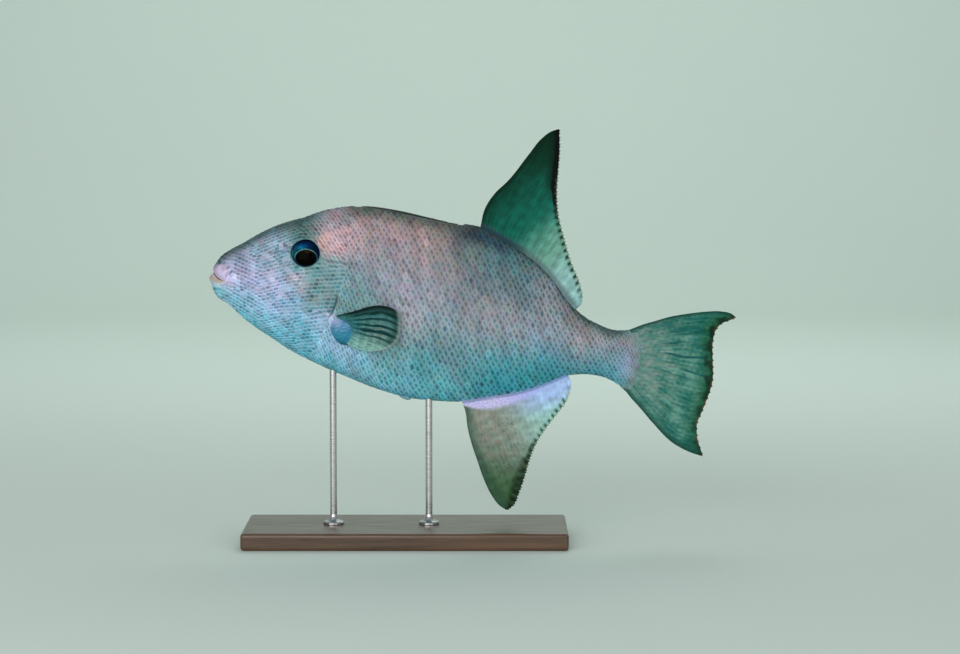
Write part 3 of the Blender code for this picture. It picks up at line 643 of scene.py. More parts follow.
def fin_material():
    """Fin skin: rays cross-jointed into short segments, with fine pleats in the web between."""
    shader = Shader("fin_skin", 0.6, Specular_IOR_Level=0.08)
    colour = shader.attribute("markings").outputs["Color"]
    place = shader.attribute("place").outputs["Vector"]
    across, outwards, on_ray = shader.node("SeparateXYZ", {"Vector": place}).outputs
    joints = shader.math("SINE", shader.math("MULTIPLY", outwards, 4.6))
    joints = shader.math("MULTIPLY", shader.remap(joints, 0.55, 1.0, 0.0, 1.0), on_ray)
    stretched = {"X": shader.math("MULTIPLY", across, 5.0), "Y": shader.math("MULTIPLY", outwards, 0.1)}
    pleats = shader.noise(1.6, 4.0, shader.node("CombineXYZ", stretched).outputs[0])
    streaks = shader.remap(pleats, 0.3, 0.7, 0.84, 1.16)
    tinted = shader.speckled(shader.product(colour, streaks), 700.0, 0.16)
    shader.coloured(shader.blend(shader.math("MULTIPLY", joints, 0.25), tinted, (0.005, 0.02, 0.018, 1)))
    shader.bumped(shader.math("SUBTRACT", shader.math("MULTIPLY", pleats, 0.8), joints), 0.2, 0.0004)
    return shader.material


def eye_material():
    shader = Shader("wet_eye", 0.22, Coat_Weight=0.02, Coat_Roughness=0.05, Specular_IOR_Level=0.005)
    shader.marked(500.0, 0.16)
    return shader.material


def wood_material():
    """Dark oiled wood, its grain along the plinth."""
    shader = Shader("oiled_wood", 0.36, Coat_Weight=0.25, Coat_Roughness=0.15)
    warp = shader.noise(6.0, 3.0, shader.coordinates((1.0, 6.0, 6.0)))
    rings = shader.noise(9.0, 8.0, shader.coordinates((1.2, 22.0, 22.0)), 0.6)
    pores = shader.noise(60.0, 2.0, shader.coordinates((0.5, 18.0, 18.0)))
    grain = shader.math("MULTIPLY_ADD", warp, 0.5, rings)
    share = shader.remap(grain, 0.5, 1.0, 0.0, 1.0)
    colour = shader.blend(share, (0.045, 0.022, 0.011, 1), (0.15, 0.075, 0.036, 1))
    dark = shader.remap(pores, 0.55, 0.7, 0.0, 0.55)
    shader.coloured(shader.blend(dark, colour, (0.02, 0.009, 0.005, 1)))
    shader.roughened(pores, 0.3, 0.5)
    shader.bumped(shader.math("ADD", grain, pores), 0.12, 0.0006)
    return shader.material


def steel_material():
    """Rod brushed round its length."""
    shader = Shader("brushed_rod", 0.3, Metallic=1.0)
    lines = shader.noise(300.0, 4.0, shader.coordinates((0.3, 0.3, 3.0)))
    tint = shader.remap(lines, 0.3, 0.7, 0.46, 0.58)
    shader.coloured(shader.node("CombineColor", {"Red": tint, "Green": tint, "Blue": tint}).outputs[0])
    shader.roughened(lines, 0.24, 0.36)
    shader.bumped(lines, 0.05, 0.0001)
    return shader.material


# Markings of the hide

def on_head(s):
    """1 on the head and 0 on the body, with a soft change behind the gill slit."""
    return ease(122, 98, s)


def markings(s, t):
    """Colours of a plate's middle and rim at places on the body, as two arrays."""
    total, mean = 0, 0
    for place_s, place_t, reach, colour in PLACES.values():
        weight = np.exp(-((s - place_s) ** 2 + (t - place_t) ** 2) / (PLACE_SPREAD * reach) ** 2) + 1e-9
        total = total + weight
        mean = mean + weight[..., None] * np.array(colour, float)
    mean = mean / total[..., None]
    less_red = 0.36 * np.clip(160 - mean[..., 0], 0, 90)
    mean = mean - np.stack([less_red, 5 + 0 * s, 3 + 0 * s], -1)
    head = on_head(s)
    mean = mean + head[..., None] * np.array((6, 5, 5))
    calm = ease(-12, 15, t) * ease(112, 138, s) * ease(272, 236, s)
    half = (PLATE_CONTRAST * (1.04 - 0.2 * calm + 0.06 * head))[..., None] * np.array((28, 19, 19))
    lean = 0.18 * head[..., None]
    middle, rim = mean - half * (1 - lean), mean + half * (1 + lean)
    from_eye, arc = eye_distance(s, t), tail_arc(s, t)
    slit, _ = line_distance(s, t, GILL_SLIT)
    brow, _ = line_distance(s, t, BROW_GROOVE)
    below = back(np.maximum(s, TRUNK_START)) - t
    above = t - belly(np.maximum(s, TRUNK_START))
    fold = ease(8, 0, t) * ease(-22, -12, t)
    fin_foot = ease(227, 236, s) * ease(312, 290, s)

    def spot(at_s, at_t, reach, wide=1.0, high=1.0):
        return bump(np.hypot((s - at_s) / wide, (t - at_t) / high), reach)

    marks = [
        # Darker along the back and darkest at its contour: painted shade on the upper side
        ((66, 80, 74), (102, 110, 104), 0.8 * ease(14, 4, below) * ease(96, 116, s) * ease(235, 215, s)),
        ((34, 52, 48), (46, 66, 62), 0.8 * ease(4.5, 0.5, below) * ease(96, 130, s)),
        ((24, 36, 42), (50, 62, 68), 0.9 * spot(214, 75.5, 8.5, wide=1.6)),
        ((58, 92, 96), (96, 124, 128), 0.45 * spot(213, 60, 8, wide=1.4)),
        # Darker over the crown: painted shade on the upper side
        ((44, 70, 68), (62, 92, 92), 0.78 * ease(11.0, 0.5, below) * ease(100, 66, s)),
        ((22, 48, 62), (36, 66, 84), 0.85 * bump(below - 7.0, 4.0) * ease(209, 219, s) * ease(262, 238, s)),
        # Darker on top of the tail stem: painted shade on the upper side
        ((46, 74, 74), (70, 100, 100), 0.66 * ease(11, 2, below) * ease(312, 330, s)),
        # Paler teal along the belly's edge: painted light from below, tinted by the water
        ((40, 122, 138), (90, 158, 172), 0.45 * ease(7.0, 0.5, above) * ease(20, 60, s)),
        # Dark in the gill slit: painted shade
        ((22, 58, 72), (30, 74, 92), 0.85 * ease(1.15, 0.4, slit) * fold),
        ((200, 200, 234), (222, 220, 248), 0.7 * spot(110.0, -15.6, 3.4)),
        # Dark in the groove before the eye: painted shade
        ((40, 68, 92), (54, 86, 112), 0.6 * ease(1.4, 0.3, brow)),
        ((176, 178, 208), (196, 196, 226), 0.5 * spot(58, 38, 5.0, high=0.625)),
        ((60, 112, 116), (96, 140, 146), 0.6 * ease(14.6, 12.6, from_eye)),
        ((40, 118, 120), (56, 136, 138), 0.65 * spot(73.0, 21.6, 3.2)),
        ((60, 118, 114), (84, 144, 138), 0.5 * spot(92.0, 32.0, 3.4)),
        ((44, 62, 84), (56, 76, 98), 0.5 * spot(63, 38, 1.3, wide=2.2)),
        ((126, 138, 176), (176, 176, 208), 0.7 * spot(370, -12, 8, high=1.7)),
        ((102, 130, 130), (122, 146, 144), 0.94 * ease(-12.0, -2.0, arc)),
        ((18, 58, 52), (26, 66, 60), 0.9 * ease(-2, 2, arc) * (bump(below, 3.0) + bump(above, 3.0))),
        ((140, 150, 198), (200, 198, 238), 0.5 * ease(2.6, 0.3, above) * fin_foot),
    ]
    # Dark in the nostrils' pits: painted shade
    for hole_s, hole_t in NOSTRILS:
        near = np.hypot(s - hole_s, t - hole_t)
        marks.append(((20, 34, 44), (24, 40, 50), 0.9 * ease(1.1, 0.5, near)))
    for dark, pale, share in marks:
        middle, rim = mix(middle, dark, share), mix(rim, pale, share)
    mottle = 1 + 0.05 * wave(11, s, t, 14) + 0.05 * wave(12, s, t, 5) + 0.03 * wave(13, s, t, 2.2)
    blush = (4 + 2 * head) * (wave(14, s, t, 8) + 0.7 * wave(15, s, t, 3.5))
    blush = blush[..., None] * np.array((1.0, -0.3, -0.35))
    return middle * mottle[..., None] + blush, rim * mottle[..., None] + blush


# The skin

def build_skin(material):
    """One closed skin: lips, head, trunk and the scaled root of the tail fin."""
    columns = 264
    even = round_turns(columns)
    turn = even + 0.2 * np.sin(2 * even)
    rings = [ring_curve(ring)(turn) for ring in (MOUTH_INSIDE, MOUTH_EDGE, LIP_CREST, LIP_CREASE)]
    lips = smooth([(k, *ring.ravel()) for k, ring in enumerate(rings)])
    places = np.concatenate([np.linspace(0, 1, 4)[:-1], np.linspace(1, 2, 8)[:-1], np.linspace(2, 3, 8)])
    rows = [lips(k).reshape(columns, 3) for k in places]
    start = lip_fit(turn)[:, 0]
    rows += [hide(start + (HEAD_JOIN_S - start) * f, turn) for f in np.linspace(0, 1, 25)[1:]]
    fine_end = 124
    for first, end, steps in ((HEAD_JOIN_S, fine_end, 140), (fine_end, SKIN_END_S, 118)):
        rows += [hide(np.full(columns, s), turn) for s in np.linspace(first, end, steps)[1:]]
    points, count = np.concatenate(rows), len(rows)
    faces = [grid_faces(count, columns, wrap=True)]
    top = np.arange(columns // 2 + 1)
    bottom = (columns - top) % columns
    for first, step in ((0, -1), ((count - 1) * columns, 1)):
        a, b = first + top, first + bottom
        strip = np.stack([a[1:-2], a[2:-1], b[2:-1], b[1:-2]], -1)
        ends = np.array([[a[0], a[1], b[1]], [a[-2], a[-1], b[-2]]])
        faces += [strip[:, ::step], ends[:, ::step]]
    s, _, t = points.T
    row = np.repeat(np.arange(count), columns)
    upper = np.cos(np.tile(turn, count)) > 0
    pink = mix((206, 174, 184), (166, 168, 204), ease(6, 12, row))
    tan = mix((186, 168, 152), (170, 172, 174), ease(8, 14, row))
    lips_end = len(places) + 6
    out = np.interp(row, [0, 3, 4, 6, 10, 13, 17, lips_end], [0, 0, 0.2, 1, 0.95, 0.5, 0.12, 0])
    colours = painted(
        markings(s, t)[1] * 0.97,
        (np.where(upper[:, None], pink, tan), (row < lips_end) * ease(0, 0.15, out) * out),
        # Dark inside the mouth's slit: painted shade
        ((40, 36, 30), (row < 7) * ease(4.4, 1.5, row)),
    )
    return make_piece("skin", points, faces, colours, material)


# Scale plates

class Chart:
    """Lengths round the body from its widest level: g is positive towards the back."""

    step = 1.5
    stations = np.arange(TRUNK_START, SKIN_END_S + 2, step)
    shares = np.linspace(-1, 1, 181)

    def __init__(self):
        turns = np.linspace(0, math.pi, 721)
        table, tops, lows = [], [], []
        for s in self.stations:
            points = section(np.full(len(turns), s), turns)
            steps = np.linalg.norm(np.diff(points[:, 1:], axis=0), axis=1)
            arc = np.concatenate([[0], np.cumsum(steps)])
            g = arc[len(turns) // 2] - arc
            wanted = np.where(self.shares > 0, self.shares * g[0], -self.shares * g[-1])
            table.append(np.interp(wanted, g[::-1], turns[::-1]))
            tops.append(g[0])
            lows.append(-g[-1])
        self.table, self.tops, self.lows = np.array(table), np.array(tops), np.array(lows)

    def top(self, s):
        return np.interp(s, self.stations, self.tops)

    def low(self, s):
        return np.interp(s, self.stations, self.lows)

    def holds(self, s, g, margin=0.0):
        """Whether a place is on the flank, the margin or more away from the back and the belly."""
        return (g < self.top(s) - margin) & (g > -self.low(s) + margin)

    def turn(self, s, g):
        share = np.clip(np.where(g > 0, g / self.top(s), g / self.low(s)), -1, 1)
        i = np.clip((s - self.stations[0]) / self.step, 0, len(self.stations) - 1.001)
        j = np.clip((share + 1) * (len(self.shares) // 2), 0, len(self.shares) - 1.001)
        i0, j0 = i.astype(int), j.astype(int)
        fi, fj = i - i0, j - j0
        near = self.table[i0, j0] * (1 - fj) + self.table[i0, j0 + 1] * fj
        far = self.table[i0 + 1, j0] * (1 - fj) + self.table[i0 + 1, j0 + 1] * fj
        return near * (1 - fi) + far * fi

    def height(self, s, g):
        """t of the length g."""
        return section(s, self.turn(s, g))[..., 2]

    def length(self, s, t):
        """g of the height t."""
        level = widest(s)
        wanted = np.arccos(np.clip((t - level) / half_height(s, level, t > level), -1, 1))
        low, high = -self.low(s), self.top(s)
        for _ in range(24):
            middle = (low + high) / 2
            above = self.turn(s, middle) < wanted
            low, high = np.where(above, low, middle), np.where(above, middle, high)
        return (low + high) / 2


# How wide and high the rhombs are along the body, as a share of the middle flank's
PLATE_SIZE = smooth([(80, 0.68), (115, 0.77), (130, 0.86), (145, 0.93), (165, 0.97), (190, 1.0), (255, 1.0),
                     (290, 0.97), (320, 0.93), (340, 0.86), (355, 0.76), (368, 0.64), (395, 0.5)])
# Rings of a plate: share of its reach, and height
RINGS = [(1.0, -0.2), (0.97, 0.08), (0.88, 0.28), (0.74, 0.41), (0.55, 0.47), (0.3, 0.5)]
MIDDLE_HEIGHT = 0.5
PLATE_SIDES = 16
# Nearest that a plate comes to the middle of the eye, in eye_distance
PLATES_FROM_EYE = 13.1


def head_edge(t):
    """Where the head's plates give way to the rhombs, by height."""
    return np.interp(t, *np.array(HEAD_EDGE).T)


class Lattice:
    """Rhombs in staggered columns. Column and row numbers run on evenly over the flank."""

    def __init__(self):
        self.s = np.linspace(62, 405, 1500)
        steps = np.diff(self.s) * 2 / (RHOMB_WIDTH * PLATE_SIZE(self.s[:-1]))
        self.columns = np.concatenate([[0], np.cumsum(steps)])

    def place(self, column, row):
        """Where the lattice has this column and row, with its lines gently uneven."""
        s = np.interp(column, self.columns, self.s)
        g = row * RHOMB_HEIGHT * PLATE_SIZE(s)
        s = s - RHOMB_LEAN * g
        uneven_s = 0.42 * wave(61, s, g, 9) + 0.22 * wave(63, s, g, 3.4)
        uneven_g = 0.42 * wave(62, s, g, 9) + 0.22 * wave(64, s, g, 3.4)
        return s + uneven_s, g + uneven_g

    def cells(self, chart):
        """Middle (column, row) of each rhomb on the body."""
        found = []
        for column in range(int(self.columns[-1])):
            rows = np.arange(-22, 23) + (column % 2) / 2
            s, g = self.place(np.full(len(rows), column, float), rows)
            t = chart.height(s, g)
            over = 0.38 * RHOMB_HEIGHT * PLATE_SIZE(s)
            keep = chart.holds(s, g, -over) & (s > head_edge(t)) & (tail_arc(s, t) < 0.6)
            found += [(column, row) for row in rows[keep]]
        return np.array(found, float)


def rhomb_outlines(lattice, cells):
    """Every rhomb's rings in (s, g), its middle, and the shape of its dark part."""
    turn = round_turns(PLATE_SIDES)
    power, fill = 1.22, 0.94
    reach = (np.abs(np.cos(turn)) ** power + np.abs(np.sin(turn)) ** power) ** (-1 / power)
    across, over = reach * np.cos(turn), reach * np.sin(turn) / 2
    rings = []
    for scale, _ in RINGS:
        share = scale * fill
        rings.append(lattice.place(cells[:, :1] + share * across, cells[:, 1:] + share * over))
    outlines = np.moveaxis(np.array(rings), 1, -1).swapaxes(0, 1)
    dash = np.broadcast_to(1 + 0.17 * np.sin(2 * turn), (len(cells), PLATE_SIDES))
    return outlines, np.stack(lattice.place(cells[:, 0], cells[:, 1]), -1), dash


# Rows of small plates on the head: middle of each field (s, t), slope, pitch and spacing in a row
HEAD_FIELDS = {
    "snout": (24, 10, -24, 3.0, 3.5),
    "cheek": (60, 4, 16, 3.05, 4.3),
    "lower_cheek": (66, -14, 10, 3.05, 4.3),
    "gill_cover": (98, 2, 24, 3.2, 4.2),
    "throat": (66, -34, 20, 2.8, 3.9),
    "gill_low": (93, -26, 30, 3.1, 4.1),
    "jaw": (34, -20, -30, 2.8, 3.8),
    "forehead": (48, 40, 24, 3.0, 3.6),
    "nape": (98, 58, -42, 3.2, 4.4),
}


def head_rows(s, t):
    """Slope of the rows, their pitch and the spacing in a row, at places on the head."""
    total, sums = 0, 0
    for field_s, field_t, slope, pitch, spacing in HEAD_FIELDS.values():
        weight = 1 / (30 + (s - field_s) ** 2 + (t - field_t) ** 2) ** 1.6
        double = math.radians(2 * slope)
        total = total + weight
        sums = sums + weight[..., None] * np.array((math.cos(double), math.sin(double), pitch, spacing))
    lean = np.arctan2(sums[..., 1], sums[..., 0]) / 2
    return lean, sums[..., 2] / total, sums[..., 3] / total


def row_frame(gaps, lean, pitch, spacing):
    """Gaps (s, g) seen along and across the rows, as shares of the spacing and the pitch."""
    along, over = turned(gaps[..., 0], gaps[..., 1], -lean)
    return np.stack([along / spacing, over / pitch], -1)


def head_seeds(chart):
    """Middles of the head's plates in rows, each field's rows on their own slope."""
    found = []
    middles = np.array([field[:2] for field in HEAD_FIELDS.values()], float)
    i, j = np.meshgrid(np.arange(-40, 41), np.arange(-40, 41))
    for k, (s0, t0, slope, pitch, spacing) in enumerate(HEAD_FIELDS.values()):
        x, y = turned((i + (j % 2) / 2) * spacing, j * pitch, math.radians(slope))
        g0 = chart.length(np.array(float(s0)), np.array(float(t0)))
        s, g = s0 + x.ravel(), g0 + y.ravel()
        inside = (s > 5) & (s < 118) & chart.holds(s, g, 0.8)
        s, g = s[inside], g[inside]
        t = chart.height(s, g)
        nearest = np.hypot(s[:, None] - middles[:, 0], t[:, None] - middles[:, 1]).argmin(1)
        keep = (nearest == k) & (s < head_edge(t) - 0.5)
        found.append(np.column_stack([s, g])[keep])
    return np.concatenate(found)


def spread(chart, seeds, still):
    """The seeds, moved towards the middle of what is nearest to each, beside others kept still."""
    step = 0.8
    s, g = np.meshgrid(np.arange(4, 122, step), np.arange(-80, 90, step))
    samples = np.column_stack([s.ravel(), g.ravel()])
    samples = samples[chart.holds(*samples.T)]
    rows = np.array(head_rows(samples[:, 0], chart.height(*samples.T))).T[:, None]
    for _ in range(6):
        every = np.concatenate([seeds, still])
        owner = []
        for part, row in zip(np.array_split(samples, 40), np.array_split(rows, 40)):
            shares = row_frame(every - part[:, None], row[..., 0], row[..., 1], row[..., 2])
            owner.append((shares**2).sum(-1).argmin(1))
        owner = np.concatenate(owner)
        counts = np.maximum(np.bincount(owner, minlength=len(every)), 1)
        sums = np.column_stack([np.bincount(owner, samples[:, k], len(every)) for k in (0, 1)])
        centres = sums / counts[:, None]
        seeds = seeds + 0.6 * (centres[:len(seeds)] - seeds)
    return seeds


def cell_outlines(chart, seeds, others):
    """As rhomb_outlines, for rounded cells drawn out along their rows, half way to the next ones."""
    every = np.concatenate([seeds, others])
    lean, pitch, spacing = (value[:, None] for value in head_rows(seeds[:, 0], chart.height(*seeds.T)))
    gaps = row_frame(every[None] - seeds[:, None], lean, pitch, spacing)
    distance = np.linalg.norm(gaps, axis=-1)
    order = distance.argsort(1)[:, 1:11]
    near = np.take_along_axis(gaps, order[..., None], 1)
    half = np.take_along_axis(distance, order, 1) / 2 - 0.035
    bearing = np.arctan2(near[..., 1], near[..., 0])
    turn = round_turns(PLATE_SIDES)
    facing = np.maximum(np.cos(turn[None, None] - bearing[..., None]), 0)
    power, longest = 9, 0.68
    reach = (((facing / half[..., None]) ** power).sum(1) + (1 / longest) ** power) ** (-1 / power)
    x, y = reach * np.cos(turn), reach * np.sin(turn)
    offset = np.stack(turned(x * spacing, y * pitch, lean), -1)
    outlines = np.stack([seeds[:, None] + scale * offset for scale, _ in RINGS], 1)
    return outlines, seeds, np.hypot(x / 1.15, y / 0.64)


def drawn_back(chart, s, g):
    """Plates' places (s, g), their middles last, kept off the eye's rim and the gill slit."""
    t = chart.height(s, g)
    rise = (chart.height(s, g + 0.5) - t) / 0.5
    push = np.maximum(PLATES_FROM_EYE / np.maximum(eye_distance(s, t), 4) - 1, 0)
    new_s, new_t = s + push * (s - EYE["s"]), t + push * (t - EYE["t"])
    slit, side = line_distance(new_s, new_t, GILL_SLIT)
    own = side[..., -1:]
    beside = (new_t < 7) & (new_t > -20)
    new_s = new_s + own * np.where(beside, np.clip(0.75 - own * side * slit, 0, 2.2), 0)
    return new_s, g + (new_t - t) / np.maximum(rise, 0.4)


def bare(s, turn):
    """Where no plate grows: lips, round the eye, in slits, grooves and nostrils, and under the fin pad."""
    _, across, t = np.moveaxis(section(s, turn), -1, 0)
    slit, _ = line_distance(s, t, GILL_SLIT)
    brow, _ = line_distance(s, t, BROW_GROOVE)
    holes = np.min([np.hypot(s - a, t - b) for a, b in NOSTRILS], axis=0)
    in_groove = over_groove(s, t) & (np.abs(across) < 4.2)
    x, y = turned(s - PAD["s"], t - PAD["t"], -math.radians(PAD["tilt"]))
    in_pad = (x / PAD["length"]) ** 2 + (y / PAD["breadth"]) ** 2 < 0.85
    lips = behind_lips(s, turn)[0] < 0.06
    near_slit = (slit < 1.0) & (t < 7) & (t > -20)
    near_eye = eye_distance(s, t) < PLATES_FROM_EYE + 0.5
    return near_eye | near_slit | (brow < 0.9) | (holes < 1.8) | in_groove | in_pad | lips


def plate_colours(middle_point, centres, dash, draw):
    """Dark in the middle and paler at the rim. dash is the shape of the dark part."""
    plates, middle_s, middle_g = len(centres), centres[:, :1], centres[:, 1:]
    middle, rim = markings(middle_point[:, 0], middle_point[:, 2])
    scales = np.array(RINGS)[:, 0]
    out = (scales[None, :, None] * dash[:, None]).reshape(plates, -1)
    out = np.concatenate([out, np.zeros((plates, 1))], 1) * draw.uniform(0.88, 1.18, (plates, 1))
    share = ease(0.32, 0.78, out + draw.normal(0, 0.05, out.shape))
    head = on_head(middle_s)
    patchy = (0.1 + 0.16 * head) * wave(17, middle_s, middle_g, 10)
    faint = np.clip(draw.uniform(0.0, 0.5, (plates, 1)) ** (1.5 - 0.6 * head) + patchy, 0, 0.75)
    tone = draw.normal(1.0, 0.07, (plates, 1))
    tint = draw.normal(0, 1, (plates, 3)) * (5, 3.5, 4) * (1 - 0.6 * head)
    middle, rim = middle * tone + tint, rim * (0.7 + 0.3 * tone) + 0.6 * tint
    return mix(middle[:, None], rim[:, None], share + faint * (1 - share))


def plate_faces(plates, rings, count, side):
    """Bands between the rings, a fan to the middle point and an underside, for each plate."""
    last = rings * count
    inner = np.arange(last - count, last)
    fan = np.stack([inner, np.roll(inner, -1), np.full(count, last)], -1)
    starts = np.arange(plates)[:, None, None] * (last + 1)
    faces = [starts + f for f in (grid_faces(rings, count, wrap=True), fan, np.arange(count)[None, ::-1])]
    return [f.reshape(-1, f.shape[-1])[:, ::-side] for f in faces]


def bake_patches(side, centres, s, g):
    """Small patch of the bake map for each plate, apart from the others'."""
    island = 0.02 + (0.5 if side > 0 else 0.0)
    root = np.stack([island + 0.46 * centres[:, 0] / 400, 0.5 + centres[:, 1] / 260], -1)
    patch = np.stack([s - centres[:, :1], g - centres[:, 1:]], -1)
    patch = patch / np.abs(patch).max((1, 2), keepdims=True) * 0.0015 + root[:, None]
    return patch.reshape(-1, 2)


def build_plates(name, side, outlines, centres, dash, chart, draw, material):
    """Domed plates on one side of the body, as one joined mesh."""
    plates, rings, count = outlines.shape[:3]
    middle_s, middle_g = centres[:, :1], centres[:, 1:]
    s = np.concatenate([outlines[..., 0].reshape(plates, -1), middle_s], 1)
    g = np.concatenate([outlines[..., 1].reshape(plates, -1), middle_g], 1)
    near = (np.abs(centres[:, 0] - 92) < 34) & (np.abs(centres[:, 1] - 10) < 60)
    s[near], g[near] = drawn_back(chart, s[near], g[near])
    g = np.clip(g, -chart.low(s) + 0.05, chart.top(s) - 0.05)
    lifts = np.concatenate([np.repeat(np.array(RINGS)[:, 1], count), [MIDDLE_HEIGHT]])
    size = np.abs(s - middle_s).max(1, keepdims=True)
    height = draw.uniform(0.8, 1.0, (plates, 1))
    raised = 0.10 * (s - middle_s) / size
    grain = draw.normal(0, 0.012, s.shape)
    fade = 1 - 0.6 * ease(-6, 1, tail_arc(middle_s, middle_g))
    points = hide(s, -side * chart.turn(s, g), (lifts + raised) * height * fade + grain)
    colours = plate_colours(points[:, -1], centres, dash, draw)
    make_piece(name, points, plate_faces(plates, rings, count, side), colours, material,
               patches=bake_patches(side, centres, s, g))


def build_coat(material):
    """Scale plates over head and body, the same on both sides but for their small unevenness."""
    chart, lattice = Chart(), Lattice()
    rhombs = rhomb_outlines(lattice, lattice.cells(chart))
    beside_head = rhombs[1][rhombs[1][:, 0] < 126]
    cells = cell_outlines(chart, spread(chart, head_seeds(chart), beside_head), beside_head)
    fields = {"head": (cells, -100, 200), "front": (rhombs, 80, 185), "rear": (rhombs, 185, 285),
              "stem": (rhombs, 285, 400)}
    for word, side in SIDES.items():
        draw = np.random.default_rng(20 + side)
        for field, (plates, low, high) in fields.items():
            s, g = plates[1].T
            keep = (s >= low) & (s < high) & ~bare(s, -side * chart.turn(s, g))
            kept = [part[keep] for part in plates]
            build_plates(f"scales_{field}_{word}", side, *kept, chart, draw, material)


# Eyes

def eye_frame(side):
    """Middle of the eye, and its axes: rearwards, upwards and out of the head."""
    s, t = EYE["s"], EYE["t"]
    out = unit(np.array([-(flank(s + 1, t) - flank(s - 1, t)) / 2, 1.0,
                         -(flank(s, t + 1) - flank(s, t - 1)) / 2]))
    out = out * (1, side, 1)
    rearwards = unit(np.array([1.0, 0, 0]) - out[0] * out)
    upwards = unit(np.array([0, 0, 1.0]) - out[2] * out - rearwards[2] * rearwards)
    centre = np.array([s, side * flank(s, t), t]) - out * EYE["sunk"]
    return centre, rearwards, upwards, out


def eye_colours(x, z):
    """Colours of the eye at places on its face, in millimetres level with the photo's frame."""
    right, up = turned(x, z, -math.radians(PITCH))
    fleck = 0.5 + 0.5 * wave(71, x, z, 1.6) * wave(72, x, z, 2.6)
    across, over = (right - 0.8) / 9.1, (up + 4.4) / 6.7
    pupil, bearing = np.hypot(across, over), np.arctan2(over, across)
    lit = bump(bearing - 2.3, 1.1) + 0.8 * bump(bearing - 0.9, 0.7) + 0.5 * bump(bearing + 0.25, 0.35)
    lit = np.clip(lit, 0, 1)
    ring = bump(pupil - 1.06, 0.055)
    inside = ease(1.03, 0.95, pupil)
    glint = bump((right - 2.8) / 4.6, 0.75) * bump((up - 0.6) / 1.5, 0.8)
    return painted(
        np.broadcast_to((5.0, 20.0, 48.0), (*x.shape, 3)),
        ((10, 78, 132), bump(up - 5.2, 3.0) * bump(right + 2.4, 6.4) * (0.75 + 0.35 * fleck)),
        ((28, 124, 150), 0.8 * bump(up - 4.0, 1.5) * bump(right + 4.0, 3.6) * (0.5 + fleck)),
        ((16, 96, 112), 0.8 * bump(right + 8.6, 2.2) * bump(up + 0.5, 6.0)),
        ((84, 160, 150), 0.75 * bump(right + 11.4, 0.9) * bump(up - 0.5, 5.5)),
        ((128, 200, 168), 0.95 * ring * lit * (0.6 + 0.4 * fleck)),
        ((24, 92, 92), 0.5 * ring * (1 - lit)),
        ((3, 3, 2), inside),
        ((92, 50, 14), 0.75 * glint * (0.45 + 0.55 * fleck) * inside),
        # Darker at the eye's upper edge: painted shade under the rim of its socket
        ((3, 9, 22), ease(10.8, 11.8, np.hypot(x / 1.04, z / 0.95)) * ease(-4, 2, up)),
    )


def build_eye(word, side, material):
    centre, rearwards, upwards, out = eye_frame(side)
    rows, columns = 60, 96
    fall, x, z = ball_grid(rows, columns, 0.03, math.pi - 0.03)
    x, z = EYE["radius"] * x, EYE["radius"] * z
    depth = EYE["depth"] * np.cos(fall) + 0 * x
    points = centre + x[..., None] * rearwards + z[..., None] * upwards + depth[..., None] * out
    colours = np.where((depth > -1)[..., None], eye_colours(x, z), 8.0)
    faces = tube_faces(rows, columns, flip=side < 0)
    piece = make_piece(f"eye_{word}_ball", points, faces, colours, material)
    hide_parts(f"eye_{word}")


# Rings of the soft rim that holds the eye: radius and height
ORBIT = [(10.9, -2.4), (11.2, -1.1), (11.5, -0.3), (11.9, 0.15), (12.3, 0.38), (12.7, 0.42), (13.2, 0.3),
         (13.8, 0.0), (14.2, -0.6)]


def build_orbit(word, side, material):
    """Soft rim of skin that holds the eye, wider than it is high."""
    columns = 144
    turn = round_turns(columns)
    rows = []
    for radius, rise in ORBIT:
        s = EYE["s"] + EYE["wide"] * radius * np.cos(turn)
        t = EYE["t"] + EYE["high"] * radius * np.sin(turn)
        level = widest(s)
        section_turn = np.arccos(np.clip((t - level) / (back(s) - level), -1, 1))
        plain = relief(s, t, 20.0 + 0 * s) - COAT
        uneven = 0.05 * np.cos(3 * turn) + 0.03 * wave(81, s, t, 1.5)
        rows.append(hide(s, -side * section_turn, rise - plain - uneven))
    points = np.concatenate(rows)
    s, _, t = points.T
    middle, rim = markings(s, t)
    colours = painted(
        mix(rim, middle, 0.35 + 0.3 * wave(82, s, t, 1.3)),
        # Dark on the inner slope, where the rim meets the eye: painted shade
        ((14, 44, 56), ease(12.6, 11.4, eye_distance(s, t))),
    )
    under = grid_faces(2, columns, wrap=True, flip=side < 0)
    under = np.where(under < columns, under + (len(rows) - 1) * columns, under - columns)
    faces = grid_faces(len(rows), columns, wrap=True, flip=side < 0)
    make_piece(f"orbit_{word}", points, [faces, under], colours, material)


# Fins

def coons(edges, u, v):
    """Places (s, t) on the sheet between root, front, margin and rear edges."""
    root, front, margin, rear = edges
    u, v = np.broadcast_arrays(u, v)
    low, high, fore, aft = root(u), margin(u), front(v), rear(v)
    a, b = u[..., None], v[..., None]
    corners = (
        (1 - a) * (1 - b) * root(np.array(0.0)) + a * (1 - b) * root(np.array(1.0))
        + (1 - a) * b * margin(np.array(0.0)) + a * b * margin(np.array(1.0))
    )
    return (1 - b) * low + b * high + (1 - a) * fore + a * aft - corners


def ray_ridges(x, v, width=0.15, spread=0.2, from_v=0.35):
    """Height share of the rays at x rays across and v outwards: each parts in two towards its tip."""
    gap = np.abs(x - np.floor(x) - 0.5)
    apart = spread * ease(from_v, 1.0, v)
    return bump(gap - apart, width * (1 - 0.35 * v))


